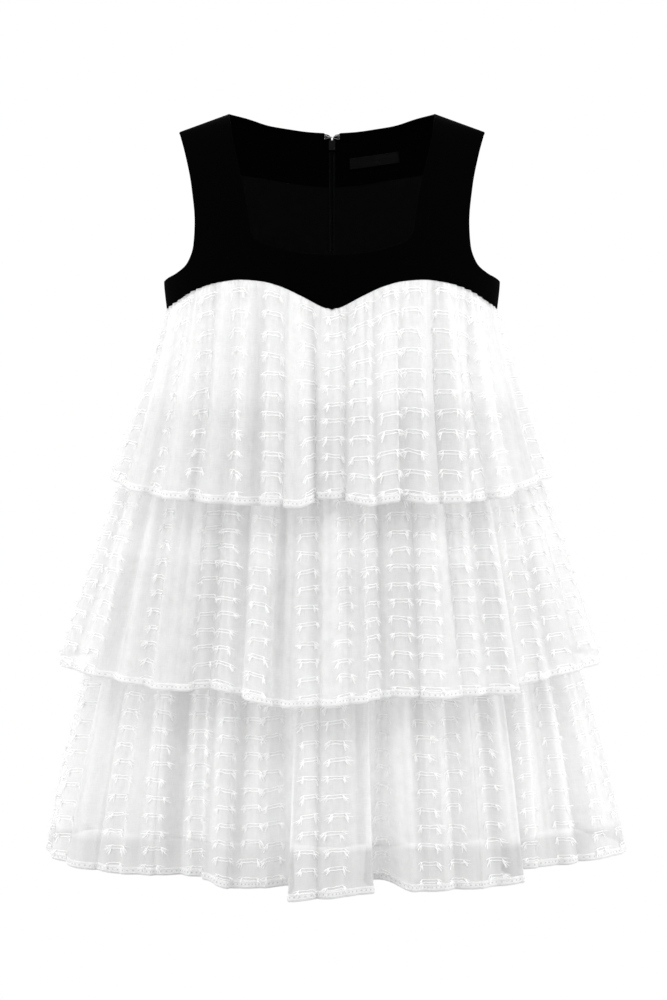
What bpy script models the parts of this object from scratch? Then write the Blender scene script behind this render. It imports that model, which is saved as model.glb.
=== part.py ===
"""Sleeveless tiered mini dress: black bodice with a sweetheart yoke seam, white slip lining and three
gathered tiers of sheer organza, filled out and hollow. Metres, +Z up, front towards -Y."""

import bisect
import functools
import math

import bmesh
import bpy
from mathutils import Matrix, Vector
from mathutils.geometry import delaunay_2d_cdt

# Walls and seams
SEAM = 0.0003
CREPE = 0.0012
FACING = 0.0010
LABEL = 0.0010
ORGANZA = 0.0010
HEM_WALL = 0.0016
SLIP = 0.0010
SEAM_TURN = 0.0015

# Bodice, measured from the origin midway between the shoulder seams
NECK_POINT_X = 0.110
NECK_POINT_Z = 0.0055
SHOULDER_TIP_X = 0.1625
SHOULDER_TIP_Z = -0.0135
SHOULDER_ROUNDING = 0.020
BACK_SEAM_Z = -0.2035

# Half width of the filled-out bodice at each height
GIRTH = (
    # height, half width
    (0.020, 0.1700),
    (-0.060, 0.1745),
    (-0.120, 0.1775),
    (-0.172, 0.1800),
    (-0.205, 0.1770),
)

# Side view of the cloth from the shoulder seam down: how far it falls and how far it reaches out
FRONT_PROFILE = (
    # drop, reach
    (0.0000, 0.0000),
    (0.0012, 0.0100),
    (0.0050, 0.0205),
    (0.0120, 0.0320),
    (0.0240, 0.0440),
    (0.0420, 0.0550),
    (0.0680, 0.0660),
    (0.1000, 0.0770),
    (0.1350, 0.0870),
    (0.1700, 0.0950),
    (0.2050, 0.1000),
    (0.2450, 0.1030),
    (0.2900, 0.1050),
)
BACK_PROFILE = (
    # drop, reach
    (0.0000, 0.0000),
    (0.0012, 0.0100),
    (0.0050, 0.0200),
    (0.0120, 0.0310),
    (0.0240, 0.0420),
    (0.0420, 0.0520),
    (0.0680, 0.0610),
    (0.1000, 0.0690),
    (0.1350, 0.0760),
    (0.1700, 0.0810),
    (0.2050, 0.0845),
    (0.2450, 0.0865),
    (0.2900, 0.0880),
)

# Edges of the right half of the bodice; the left half mirrors them
ARMHOLE = (
    # x, z from the shoulder tip down to the underarm
    (0.1625, -0.0135),
    (0.1555, -0.0380),
    (0.1485, -0.0720),
    (0.1448, -0.1100),
    (0.1462, -0.1340),
    (0.1530, -0.1530),
    (0.1660, -0.1645),
    (0.1745, -0.1690),
    (0.1800, -0.1730),
)
FRONT_NECK = (
    # x, z from the shoulder seam down to the centre front
    (0.1100, 0.0055),
    (0.1050, -0.0260),
    (0.0965, -0.0600),
    (0.0890, -0.1000),
    (0.0865, -0.1180),
    (0.0800, -0.1285),
    (0.0660, -0.1345),
    (0.0350, -0.1420),
    (0.0000, -0.1450),
)
BACK_NECK = (
    # x, z from the shoulder seam down to the zip
    (0.1100, 0.0055),
    (0.0930, 0.0015),
    (0.0680, -0.0062),
    (0.0480, -0.0095),
    (0.0260, -0.0125),
    (0.0085, -0.0136),
)
SWEETHEART = (
    # x, z from the side seam to the centre front
    (0.1770, -0.2035),
    (0.1600, -0.1920),
    (0.1400, -0.1800),
    (0.1160, -0.1720),
    (0.0930, -0.1690),
    (0.0730, -0.1705),
    (0.0540, -0.1755),
    (0.0320, -0.1855),
    (0.0100, -0.1970),
    (0.0000, -0.2005),
)
FACING_EDGE = (
    # x, z of the back facing's lower edge, armhole to zip
    (0.1532, -0.0480),
    (0.1250, -0.0545),
    (0.0980, -0.0580),
    (0.0680, -0.0625),
    (0.0350, -0.0680),
    (0.0038, -0.0708),
)

# Centre back zip
ZIP_HALF_WIDTH = 0.0035
ZIP_THICKNESS = 0.0020
ZIP_SLIDER_Z = -0.0245
ZIP_STEM_HALF = 0.0006
ZIP_OPEN_HALF = 0.0009
ZIP_NOTCH_Z = -0.0170
ZIP_LIP_Z = -0.0146
ZIP_TOP_Z = -0.0310
SLIDER_LENGTH = 0.0110
SLIDER_DEPTH = 0.0030
STEM_INSET = 0.0010
CROWN_INSET = 0.0015
CROWN_HALF_WIDTH = 0.0026
CROWN_THICKNESS = 0.0006
POST_WIDTH = 0.0009
POST_HALF_LENGTH = 0.0009
BAR_RADIUS = 0.0006
BAR_HEIGHT = 0.0029
METAL_OVERLAP = 0.0002
EYE_HOLE_RADIUS = 0.0009
EYE_RADIUS = 0.0017
EYE_HALF_WIDTH = 0.0014
PULL_START = 0.0012
PULL_NECK_END = 0.0046
PULL_WIDE_START = 0.0080
PULL_LENGTH = 0.0200
PULL_HALF_WIDTH = 0.0030
PULL_THICKNESS = 0.0009

# Blank label on the right back facing, seen through the neck
LABEL_CORNERS = ((0.0195, -0.0395), (0.0728, -0.0320), (0.0742, -0.0438), (0.0200, -0.0513))

# Slip lining
SLIP_HEM_Z = -0.7575
SLIP_HALF_WIDTH = 0.2660
SLIP_FRONT = 0.1430
SLIP_BACK = 0.1300

# Tiers: where each is sewn on, its hem ring, how much its outline bows and how its hem rises
TIERS = (
    {
        "name": "tier_top",
        "seam": None,
        "hem": -0.400,
        "side_rise": 0.019,
        "half_width": 0.2390,
        "front": 0.1600,
        "back": 0.1400,
        "bow_side": -0.03,
        "bow_front": 0.02,
        "columns": 60,
        "gathers": 15,
        "fold_drop": 0.45,
    },
    {
        "name": "tier_middle",
        "seam": -0.300,
        "hem": -0.597,
        "side_rise": 0.016,
        "half_width": 0.2930,
        "front": 0.1900,
        "back": 0.1680,
        "bow_side": 0.03,
        "bow_front": -0.10,
        "columns": 68,
        "gathers": 17,
        "fold_drop": 0.40,
    },
    {
        "name": "tier_bottom",
        "seam": -0.467,
        "hem": -0.788,
        "side_rise": 0.000,
        "half_width": 0.3140,
        "front": 0.2070,
        "back": 0.1850,
        "bow_side": 0.10,
        "bow_front": -0.03,
        "columns": 76,
        "gathers": 18,
        "fold_drop": 0.19,
    },
)

# Large folds at each hem: across the hem and how far the cloth stands out there
FOLDS = {
    ("tier_top", "front"): (
        # x, out
        (-0.240, 0.000),
        (-0.211, 0.003),
        (-0.180, 0.004),
        (-0.142, 0.002),
        (-0.095, 0.002),
        (-0.060, 0.002),
        (-0.036, 0.006),
        (-0.014, -0.012),
        (0.007, -0.012),
        (0.039, 0.002),
        (0.070, -0.007),
        (0.100, 0.001),
        (0.133, 0.003),
        (0.176, 0.004),
        (0.218, -0.004),
        (0.240, -0.001),
    ),
    ("tier_top", "back"): (
        # x, out
        (-0.240, 0.000),
        (-0.205, -0.004),
        (-0.160, 0.004),
        (-0.118, -0.007),
        (-0.080, 0.004),
        (-0.040, 0.003),
        (-0.018, -0.010),
        (0.020, -0.009),
        (0.050, 0.006),
        (0.092, 0.002),
        (0.120, -0.008),
        (0.165, 0.005),
        (0.208, -0.003),
        (0.240, -0.001),
    ),
    ("tier_middle", "front"): (
        # x, out
        (-0.293, 0.003),
        (-0.233, -0.006),
        (-0.173, -0.004),
        (-0.122, -0.013),
        (-0.094, -0.002),
        (-0.045, 0.016),
        (-0.002, 0.012),
        (0.040, 0.003),
        (0.066, -0.003),
        (0.111, 0.002),
        (0.150, 0.002),
        (0.186, 0.006),
        (0.194, -0.006),
        (0.239, -0.009),
        (0.293, -0.002),
    ),
    ("tier_middle", "back"): (
        # x, out
        (-0.293, 0.003),
        (-0.240, -0.004),
        (-0.190, 0.006),
        (-0.150, -0.009),
        (-0.110, 0.004),
        (-0.060, 0.010),
        (-0.030, -0.010),
        (0.010, -0.012),
        (0.045, 0.012),
        (0.095, 0.008),
        (0.120, -0.008),
        (0.170, -0.004),
        (0.215, 0.006),
        (0.255, -0.006),
        (0.293, -0.002),
    ),
    ("tier_bottom", "front"): (
        # x, out
        (-0.314, -0.004),
        (-0.266, 0.000),
        (-0.232, -0.002),
        (-0.194, -0.009),
        (-0.146, -0.016),
        (-0.100, 0.010),
        (-0.062, 0.002),
        (-0.046, -0.004),
        (-0.034, 0.036),
        (-0.015, 0.031),
        (0.012, 0.024),
        (0.034, 0.016),
        (0.044, -0.020),
        (0.058, -0.016),
        (0.083, 0.016),
        (0.132, 0.017),
        (0.186, 0.010),
        (0.198, -0.024),
        (0.250, -0.015),
        (0.284, -0.012),
        (0.314, 0.006),
    ),
    ("tier_bottom", "back"): (
        # x, out
        (-0.314, -0.004),
        (-0.262, 0.006),
        (-0.215, -0.012),
        (-0.165, 0.014),
        (-0.120, 0.010),
        (-0.098, -0.018),
        (-0.060, -0.010),
        (-0.030, 0.022),
        (0.025, 0.018),
        (0.048, -0.020),
        (0.085, -0.010),
        (0.120, 0.018),
        (0.170, 0.006),
        (0.205, -0.014),
        (0.260, 0.004),
        (0.314, 0.006),
    ),
}

# How the cloth hangs
TIER_ROWS = (0.0, 0.12, 0.32, 0.55, 0.78, 1.0)
SLIP_ROWS = (0.0, 0.2, 0.45, 0.72, 1.0)
SLIP_COLUMNS = 30
HANG = 0.24
SIDE_DEPTH = 0.15
RING_FLATNESS = 0.62
GATHER_BELLY = 0.0042
GATHER_HEM = 0.0026
SLIP_WAVES = 5
SLIP_WAVE_OUT = 0.0030

# Spacing of the points inside flat panels, and the width of the plane they are laid out in
PANEL_SPACING = 0.021
LAYOUT_WIDTH = 0.150
EDGE_STEP = 0.014


class Curve:
    """A smooth curve through the rows of a two-column table that doesn't overshoot them."""

    def __init__(self, rows, level_start=False):
        rows = sorted(rows)
        self.xs = [row[0] for row in rows]
        self.ys = [row[1] for row in rows]
        steps = [
            (self.ys[i + 1] - self.ys[i]) / (self.xs[i + 1] - self.xs[i]) for i in range(len(rows) - 1)
        ]
        first = 0.0 if level_start else steps[0]
        self.slopes = [first] + [0.0] * (len(rows) - 2) + [steps[-1]]
        for i in range(1, len(rows) - 1):
            before, after = steps[i - 1], steps[i]
            if before * after > 0:
                self.slopes[i] = 2 * before * after / (before + after)

    def __call__(self, x):
        xs, ys, slopes = self.xs, self.ys, self.slopes
        x = min(max(x, xs[0]), xs[-1])
        i = min(bisect.bisect_right(xs, x) - 1, len(xs) - 2)
        width = xs[i + 1] - xs[i]
        t = (x - xs[i]) / width
        rise = 3 * t**2 - 2 * t**3
        bend_in = t - 2 * t**2 + t**3
        bend_out = t**3 - t**2
        bend = width * (slopes[i] * bend_in + slopes[i + 1] * bend_out)
        return ys[i] * (1 - rise) + ys[i + 1] * rise + bend


def run_curves(profile):
    """A side profile by length of cloth: a curve for the drop, level at the seam, and one for the reach."""
    run, rows = 0.0, []
    for i, (drop, reach) in enumerate(profile):
        if i:
            run += math.hypot(drop - profile[i - 1][0], reach - profile[i - 1][1])
        rows.append((run, drop, reach))
    drop_of = Curve([(run, drop) for run, drop, _ in rows], level_start=True)
    reach_of = Curve([(run, reach) for run, _, reach in rows])
    return drop_of, reach_of


GIRTH_AT = Curve(GIRTH)
PROFILE_AT = {-1: run_curves(FRONT_PROFILE), 1: run_curves(BACK_PROFILE)}
FOLD_AT = {key: Curve(rows) for key, rows in FOLDS.items()}
SEAM_AT = {-1: Curve(SWEETHEART), 1: Curve(((0.0, BACK_SEAM_Z), (GIRTH[-1][1], BACK_SEAM_Z)))}


def even_turns(flatness, steps=90):
    """Turn round an oval, from its centre line to its side, at each share of the length between them."""
    length, rows = 0.0, [(0.0, 0.0)]
    for i in range(1, steps + 1):
        turn = math.pi / 2 * (i - 0.5) / steps
        length += math.hypot(math.cos(turn), flatness * math.sin(turn))
        rows.append((length, math.pi / 2 * i / steps))
    return Curve([(run / length, turn) for run, turn in rows])


TURN_AT = even_turns(RING_FLATNESS)


def shoulder_line(x):
    """Height of the shoulder seam above or below the origin, carried on over the neck."""
    neck, tip, here = (math.hypot(at, SHOULDER_ROUNDING) for at in (NECK_POINT_X, SHOULDER_TIP_X, x))
    slope = (NECK_POINT_Z - SHOULDER_TIP_Z) / (tip - neck)
    return NECK_POINT_Z + slope * (neck - here)


def shoulder_seam():
    """The shoulder seam from the neck to the tip."""
    steps = round((SHOULDER_TIP_X - NECK_POINT_X) / EDGE_STEP)
    xs = [NECK_POINT_X + (SHOULDER_TIP_X - NECK_POINT_X) * i / steps for i in range(steps + 1)]
    return [Vector((x, shoulder_line(x))) for x in xs]


def bodice_point(side, turn, run):
    """Point on the bodice's outer face: turn from the centre line to the side, run down from the shoulder."""
    drop_of, reach_of = PROFILE_AT[side]
    drop, reach = drop_of(run), reach_of(run)
    z = -drop
    for _ in range(8):
        x = GIRTH_AT(z) * math.sin(turn)
        z = shoulder_line(x) - drop
    return Vector((x, side * reach * math.cos(turn), z))


def bodice_place(side, x, z):
    """Turn and run of the bodice point seen at x, z, kept half a seam clear of the next panel."""
    most = math.pi / 2 - SEAM_TURN
    turn = math.asin(max(-1.0, min(1.0, x / GIRTH_AT(z))))
    turn = max(-most, min(most, turn))
    drop = max(shoulder_line(x) - z, 0.0)
    drop_of, _ = PROFILE_AT[side]
    low, high = 0.0, drop_of.xs[-1]
    for _ in range(30):
        middle = (low + high) / 2
        if drop_of(middle) < drop:
            low = middle
        else:
            high = middle
    return turn, max(low, SEAM / 2 / math.cos(turn))


def bodice_normal(side, turn, run):
    """Direction straight out of the bodice's outer face."""
    small_turn, small_run = 0.002, 0.0004
    across = bodice_point(side, turn + small_turn, run) - bodice_point(side, turn - small_turn, run)
    start = max(run - small_run, 0.0)
    down = bodice_point(side, turn, run + small_run) - bodice_point(side, turn, start)
    normal = across.cross(down).normalized()
    outwards = Vector((math.sin(turn), side * math.cos(turn), 0.5))
    return normal if normal.dot(outwards) > 0 else -normal


def sweetheart_seam():
    """The yoke seam from the side to the centre front, with a point at each column of the tier below it."""
    columns = TIERS[0]["columns"] // 2
    xs = [GIRTH[-1][1] * math.sin(TURN_AT(i / columns)) for i in range(columns, -1, -1)]
    heights = [SEAM_AT[-1](x) for x in xs]
    return [Vector((x * GIRTH_AT(z) / GIRTH[-1][1], z)) for x, z in zip(xs, heights)]


def even_line(points, step):
    """Points a step apart along a smooth line through a table's points, ends kept."""
    points = [Vector(p) for p in points]
    lengths = [0.0]
    for a, b in zip(points, points[1:]):
        lengths.append(lengths[-1] + (b - a).length)
    count = max(1, round(lengths[-1] / step))
    x_at = Curve([(s, p.x) for s, p in zip(lengths, points)])
    z_at = Curve([(s, p.y) for s, p in zip(lengths, points)])
    places = [lengths[-1] * i / count for i in range(count + 1)]
    return [Vector((x_at(s), z_at(s))) for s in places]


def straight(start, end, step):
    return even_line((start, end), step)


def side_seam(bottom):
    """The side seam from the underarm down, where front and back panels meet."""
    heights = [p.y for p in straight((0, ARMHOLE[-1][1]), (0, bottom), EDGE_STEP)]
    return [Vector((GIRTH_AT(z), z)) for z in heights]


def mirrored(points):
    return [Vector((-p.x, p.y)) for p in points]


def joined_edges(*edges):
    """One closed outline from edges that follow each other, each corner kept once."""
    outline = []
    for edge in edges:
        for p in edge:
            if not outline or (p - outline[-1]).length > 1e-6:
                outline.append(p)
    if (outline[0] - outline[-1]).length < 1e-6:
        outline.pop()
    return outline


def inside(point, outline):
    """True where a point lies inside a closed outline."""
    odd = False
    for a, b in zip(outline, outline[1:] + outline[:1]):
        if (a.y > point.y) != (b.y > point.y):
            if point.x < (b.x - a.x) * (point.y - a.y) / (b.y - a.y) + a.x:
                odd = not odd
    return odd


def colour(name, base, roughness, metallic=0.0):
    material = bpy.data.materials.new(name)
    material.use_nodes = True
    shader = material.node_tree.nodes["Principled BSDF"]
    shader.inputs["Base Color"].default_value = (*base, 1.0)
    shader.inputs["Roughness"].default_value = roughness
    shader.inputs["Metallic"].default_value = metallic
    return material


def add_object(name, mesh_builder, material, smooth_angle=50):
    """One named object from a bmesh, faces out, shaded smooth up to an angle."""
    bmesh.ops.recalc_face_normals(mesh_builder, faces=mesh_builder.faces)
    mesh = bpy.data.meshes.new(name)
    mesh_builder.to_mesh(mesh)
    mesh_builder.free()
    mesh.shade_smooth()
    mesh.set_sharp_from_angle(angle=math.radians(smooth_angle))
    mesh.materials.append(material)
    result = bpy.data.objects.new(name, mesh)
    bpy.context.scene.collection.objects.link(result)
    return result


def lay_out(side, outline, lines, spacing):
    """Triangles that fill an outline seen from the front and keep the lines drawn on it."""
    points, edges = [], []
    for line, closed in ((outline, True), *lines):
        start = len(points)
        for p in line:
            turn, run = bodice_place(side, p.x, p.y)
            points.append(Vector((turn * LAYOUT_WIDTH, run)))
        edges += [(i, i + 1) for i in range(start, len(points) - 1)]
        if closed:
            edges.append((len(points) - 1, start))
    flat = points[: len(outline)]
    drawn = list(points)
    low_x, high_x = min(p.x for p in flat), max(p.x for p in flat)
    low_y, high_y = min(p.y for p in flat), max(p.y for p in flat)
    row, y = 0, low_y + spacing / 2
    while y < high_y:
        x = low_x + spacing * (0.5 if row % 2 else 0.25)
        while x < high_x:
            here = Vector((x, y))
            if inside(here, flat) and all((here - p).length > spacing * 0.5 for p in drawn):
                points.append(here)
            x += spacing
        y += spacing * 0.85
        row += 1
    loop = list(range(len(outline)))
    vertices, _, faces, *_ = delaunay_2d_cdt(points, edges, [loop], 1, 1e-7)
    places = [(p.x / LAYOUT_WIDTH, p.y) for p in vertices]
    return places, faces


def cloth(name, side, layout, keep, inset, wall, material):
    """A wall of cloth over the layout's triangles whose middle keep(x, z) accepts, inset from the form."""
    places, faces = layout
    bases = [bodice_point(side, *place) for place in places]
    kept = []
    for face in faces:
        middle = sum((bases[i] for i in face), Vector()) / 3
        if keep(middle.x, middle.z):
            kept.append(face)
    builder = bmesh.new()
    outer, inner = {}, {}
    for i in sorted({i for face in kept for i in face}):
        normal = bodice_normal(side, *places[i])
        outer[i] = builder.verts.new(bases[i] - normal * inset)
        inner[i] = builder.verts.new(bases[i] - normal * (inset + wall))
    edge_uses = {}
    for face in kept:
        builder.faces.new([outer[i] for i in face])
        builder.faces.new([inner[i] for i in reversed(face)])
        for a, b in zip(face, face[1:] + face[:1]):
            edge_uses.setdefault(frozenset((a, b)), []).append((a, b))
    for uses in edge_uses.values():
        if len(uses) == 1:
            a, b = uses[0]
            builder.faces.new([outer[b], outer[a], inner[a], inner[b]])
    return add_object(name, builder, material)


def everywhere(x, z):
    return True


def bodice_front(material):
    armhole = even_line(ARMHOLE, EDGE_STEP)
    neck = even_line(FRONT_NECK, EDGE_STEP)
    seam = sweetheart_seam()
    shoulder = shoulder_seam()
    side = side_seam(seam[0].y)
    right = shoulder + armhole + side + seam
    left = mirrored(neck[::-1] + right)[::-1]
    outline = joined_edges(neck[::-1], right, left)
    layout = lay_out(-1, outline, [], PANEL_SPACING)
    return cloth("bodice_front", -1, layout, everywhere, 0.0, CREPE, material)


def below(line, z_gap):
    return [Vector((p.x, p.y - z_gap)) for p in line]


def bodice_back(crepe, facing, satin, ribbon):
    """Back halves and what lies inside them: facing above, satin lining below, label on the right."""
    zip_x = ZIP_HALF_WIDTH + SEAM
    side_x = GIRTH_AT(BACK_SEAM_Z)
    neck = even_line(BACK_NECK, EDGE_STEP)
    shoulder = shoulder_seam()
    armhole = even_line(ARMHOLE, EDGE_STEP)
    side = side_seam(BACK_SEAM_Z)
    seam = straight((side_x, BACK_SEAM_Z), (zip_x, BACK_SEAM_Z), EDGE_STEP)
    opening = [
        *straight((SEAM / 2, BACK_SEAM_Z), (SEAM / 2, ZIP_TOP_Z - 0.001), PANEL_SPACING),
        Vector((ZIP_OPEN_HALF, ZIP_TOP_Z)),
        Vector((ZIP_OPEN_HALF, ZIP_NOTCH_Z)),
        Vector((zip_x, ZIP_LIP_Z)),
        neck[-1],
    ]
    facing_hem = even_line(FACING_EDGE, EDGE_STEP)
    lining_top = below(facing_hem, SEAM)
    zip_side = [
        *straight((zip_x, ZIP_LIP_Z), facing_hem[-1], PANEL_SPACING),
        *straight(lining_top[-1], (zip_x, BACK_SEAM_Z), PANEL_SPACING),
    ]
    armhole = sorted(armhole + [facing_hem[0], lining_top[0]], key=lambda p: -p.y)
    outline = joined_edges(neck[::-1], shoulder, armhole, side, seam, opening)
    corners = LABEL_CORNERS + LABEL_CORNERS[:1]
    label = joined_edges(*(straight(a, b, EDGE_STEP) for a, b in zip(corners, corners[1:])))
    lines = [
        (facing_hem, False),
        (lining_top, False),
        (zip_side, False),
        (label, True),
    ]
    hem_at = Curve([(p.x, p.y) for p in facing_hem])

    def on_facing(x, z):
        return abs(x) > zip_x and z > hem_at(abs(x))

    def on_lining(x, z):
        return abs(x) > zip_x and z < hem_at(abs(x)) - SEAM

    def on_label(x, z):
        return inside(Vector((x, z)), label)

    inset = CREPE + SEAM
    for hand, shape in (("right", list), ("left", mirrored)):
        drawn = [(shape(line), closed) for line, closed in lines]
        layout = lay_out(1, shape(outline), drawn, PANEL_SPACING)
        cloth(f"bodice_back_{hand}", 1, layout, everywhere, 0.0, CREPE, crepe)
        cloth(f"back_facing_{hand}", 1, layout, on_facing, inset, FACING, facing)
        cloth(f"back_lining_{hand}", 1, layout, on_lining, inset, FACING, satin)
        if hand == "right":
            cloth("neck_label", 1, layout, on_label, inset + FACING + SEAM, LABEL, ribbon)


def zip_chain(material):
    half = ZIP_HALF_WIDTH
    right = straight((half, BACK_SEAM_Z), (half, ZIP_TOP_Z - 0.001), PANEL_SPACING)[1:]
    outline = joined_edges(right, mirrored(right)[::-1])
    layout = lay_out(1, outline, [], PANEL_SPACING * 2)
    return cloth("zip_chain", 1, layout, everywhere, CREPE + SEAM, ZIP_THICKNESS, material)


def slip_point(side, turn, fall):
    """Outer face of the slip lining, from under the yoke seam to its hem."""
    top = seam_ring(side, turn, ORGANZA + SEAM)
    depth = SLIP_FRONT if side < 0 else SLIP_BACK
    hem = Vector((SLIP_HALF_WIDTH * math.sin(turn), side * depth * math.cos(turn), SLIP_HEM_Z))
    point = top.lerp(hem, fall)
    wave = math.cos(SLIP_WAVES * 2 * turn) * SLIP_WAVE_OUT * fall
    return point + ring_out(side, turn, SLIP_HALF_WIDTH, depth) * wave


def ring_out(side, turn, half_width, depth):
    """Level direction straight out of an oval ring."""
    return Vector((depth * math.sin(turn), side * half_width * math.cos(turn), 0.0)).normalized()


@functools.lru_cache(maxsize=None)
def seam_ring(side, turn, inset):
    """The yoke seam's ring on the bodice's form, lowered by one seam's gap."""
    z = SEAM_AT[side](abs(GIRTH[-1][1] * math.sin(turn)))
    x = GIRTH_AT(z) * math.sin(turn)
    place = bodice_place(side, x, z)
    point = bodice_point(side, *place) - bodice_normal(side, *place) * inset
    return point - Vector((0, 0, SEAM + ORGANZA / 2))


@functools.lru_cache(maxsize=None)
def slip_ring(side, turn, z):
    """The slip's ring at a height, just clear of its outer face, where a tier is sewn on."""
    low, high = 0.0, 1.0
    for _ in range(30):
        middle = (low + high) / 2
        if slip_point(side, turn, middle).z > z:
            low = middle
        else:
            high = middle
    point = slip_point(side, turn, low)
    return point + ring_out(side, turn, SLIP_HALF_WIDTH, SLIP_FRONT) * (SEAM + ORGANZA)


def gather_wave(tier, side, across):
    """Small gathers of uneven width round the tier, from -1 to 1."""
    shift = 1.3 * side + tier["gathers"]
    uneven = 0.9 * math.sin(4.5 * across + shift) + 0.5 * math.sin(11 * across - 2 * shift)
    return math.cos(tier["gathers"] * math.pi * across + uneven)


def tier_point(tier, side, across, fall):
    """Outer face of a gathered tier: across from -1 to 1 between the side seams, fall from seam to hem."""
    top_turn = math.copysign(TURN_AT(abs(across)), across)
    settled = across * (1 - HANG + HANG * across**2)
    hem_turn = math.copysign(TURN_AT(abs(settled)), across)
    turn = top_turn + (hem_turn - top_turn) * fall
    depth = tier["front"] if side < 0 else tier["back"]
    half = tier["half_width"]
    if tier["seam"] is None:
        top = seam_ring(side, top_turn, 0.0)
    else:
        top = slip_ring(side, top_turn, tier["seam"])
    hem_x = half * math.sin(hem_turn)
    fold = FOLD_AT[tier["name"], "front" if side < 0 else "back"](hem_x)
    rise = tier["side_rise"] * math.sin(hem_turn) ** 4
    hem_z = tier["hem"] + rise - tier["fold_drop"] * fold
    hem = Vector((hem_x, side * depth * math.cos(hem_turn), hem_z))
    bow = math.sin(math.pi * fall)
    point = Vector((
        top.x + (hem.x - top.x) * (fall + tier["bow_side"] * bow),
        top.y + (hem.y - top.y) * (fall + tier["bow_front"] * bow),
        top.z + (hem.z - top.z) * fall,
    ))
    belly = GATHER_BELLY * bow + GATHER_HEM * fall**2
    seam_fade = 1 - abs(across) ** 12
    out = fold * fall**1.3 + gather_wave(tier, side, across) * belly * seam_fade
    return point + ring_out(side, turn, half, depth) * out


def hung_shell(name, surface, side, columns, rows, wall, hem_wall, material):
    """Half of a tube of hanging cloth as a closed wall, its outer face read from surface(across, fall)."""
    across = [-1 + 2 * i / columns for i in range(columns + 1)]
    edge = 1 - SEAM / SIDE_DEPTH / math.pi
    across[0], across[-1] = -edge, edge
    grid = [[surface(side, u, fall) for u in across] for fall in rows]
    builder = bmesh.new()
    outer, inner = [], []
    for j, row in enumerate(grid):
        outer_row, inner_row = [], []
        for i, here in enumerate(row):
            left, right = row[max(i - 1, 0)], row[min(i + 1, columns)]
            above, below = grid[max(j - 1, 0)][i], grid[min(j + 1, len(rows) - 1)][i]
            normal = (right - left).cross(below - above).normalized() * side
            if normal.dot(Vector((here.x, here.y, 0))) < 0:
                normal.negate()
            if i in (0, columns):
                normal.y = 0.0
                normal.normalize()
            thickness = wall + (hem_wall - wall) * (j == len(rows) - 1)
            outer_row.append(builder.verts.new(here))
            inner_row.append(builder.verts.new(here - normal * thickness))
        outer.append(outer_row)
        inner.append(inner_row)
    last_row, last_column = len(rows) - 1, columns
    for j in range(last_row):
        for i in range(last_column):
            for skin in (outer, inner):
                builder.faces.new([skin[j][i], skin[j][i + 1], skin[j + 1][i + 1], skin[j + 1][i]])
    for i in range(last_column):
        for j in (0, last_row):
            builder.faces.new([outer[j][i], outer[j][i + 1], inner[j][i + 1], inner[j][i]])
    for j in range(last_row):
        for i in (0, last_column):
            builder.faces.new([outer[j][i], outer[j + 1][i], inner[j + 1][i], inner[j][i]])
    return add_object(name, builder, material)


def slip_lining(material):
    for side, half in ((-1, "front"), (1, "back")):
        def surface(side, across, fall):
            return slip_point(side, across * math.pi / 2, fall)
        hung_shell(f"slip_{half}", surface, side, SLIP_COLUMNS, SLIP_ROWS, SLIP, SLIP, material)


def gathered_tiers(material):
    for tier in TIERS:
        for side, half in ((-1, "front"), (1, "back")):
            def surface(side, across, fall, tier=tier):
                return tier_point(tier, side, across, fall)
            name = f"{tier['name']}_{half}"
            hung_shell(name, surface, side, tier["columns"], TIER_ROWS, ORGANZA, HEM_WALL, material)


def zip_frame():
    """Place of the slider's bar: across +X, then down the back's slope, then straight out of it."""
    turn, run = bodice_place(1, 0.0, ZIP_SLIDER_Z)
    turn = 0.0
    out = bodice_normal(1, turn, run)
    across = Vector((1, 0, 0))
    down = across.cross(out).normalized()
    if down.z > 0:
        down.negate()
    rotation = Matrix((across, down, out)).transposed().to_4x4()
    return Matrix.Translation(bodice_point(1, turn, run)) @ rotation


def box(low, high):
    builder = bmesh.new()
    bmesh.ops.create_cube(builder, size=1.0)
    low, high = Vector(low), Vector(high)
    for v in builder.verts:
        v.co = Vector(low[i] + (high[i] - low[i]) * (v.co[i] + 0.5) for i in range(3))
    return builder


def rod(radius, half_length, height, sides=16):
    """A round rod along X whose axis is at a height over the cloth."""
    builder = bmesh.new()
    bmesh.ops.create_cone(
        builder, cap_ends=True, segments=sides, radius1=radius, radius2=radius, depth=2 * half_length
    )
    turn = Matrix.Translation((0, 0, height)) @ Matrix.Rotation(math.pi / 2, 4, "Y")
    bmesh.ops.transform(builder, matrix=turn, verts=builder.verts)
    return builder


def combine(target, tools):
    """Boolean each tool into the target; the tools stay as hidden guides."""
    for mesh_builder, operation in tools:
        tool = add_object(f"{target.name}_guide", mesh_builder, target.data.materials[0])
        tool.hide_render = True
        tool.display_type = "WIRE"
        tool.matrix_world = target.matrix_world.copy()
        modifier = target.modifiers.new(operation.lower(), "BOOLEAN")
        modifier.operation = operation
        modifier.solver = "EXACT"
        modifier.object = tool
    return target


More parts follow.
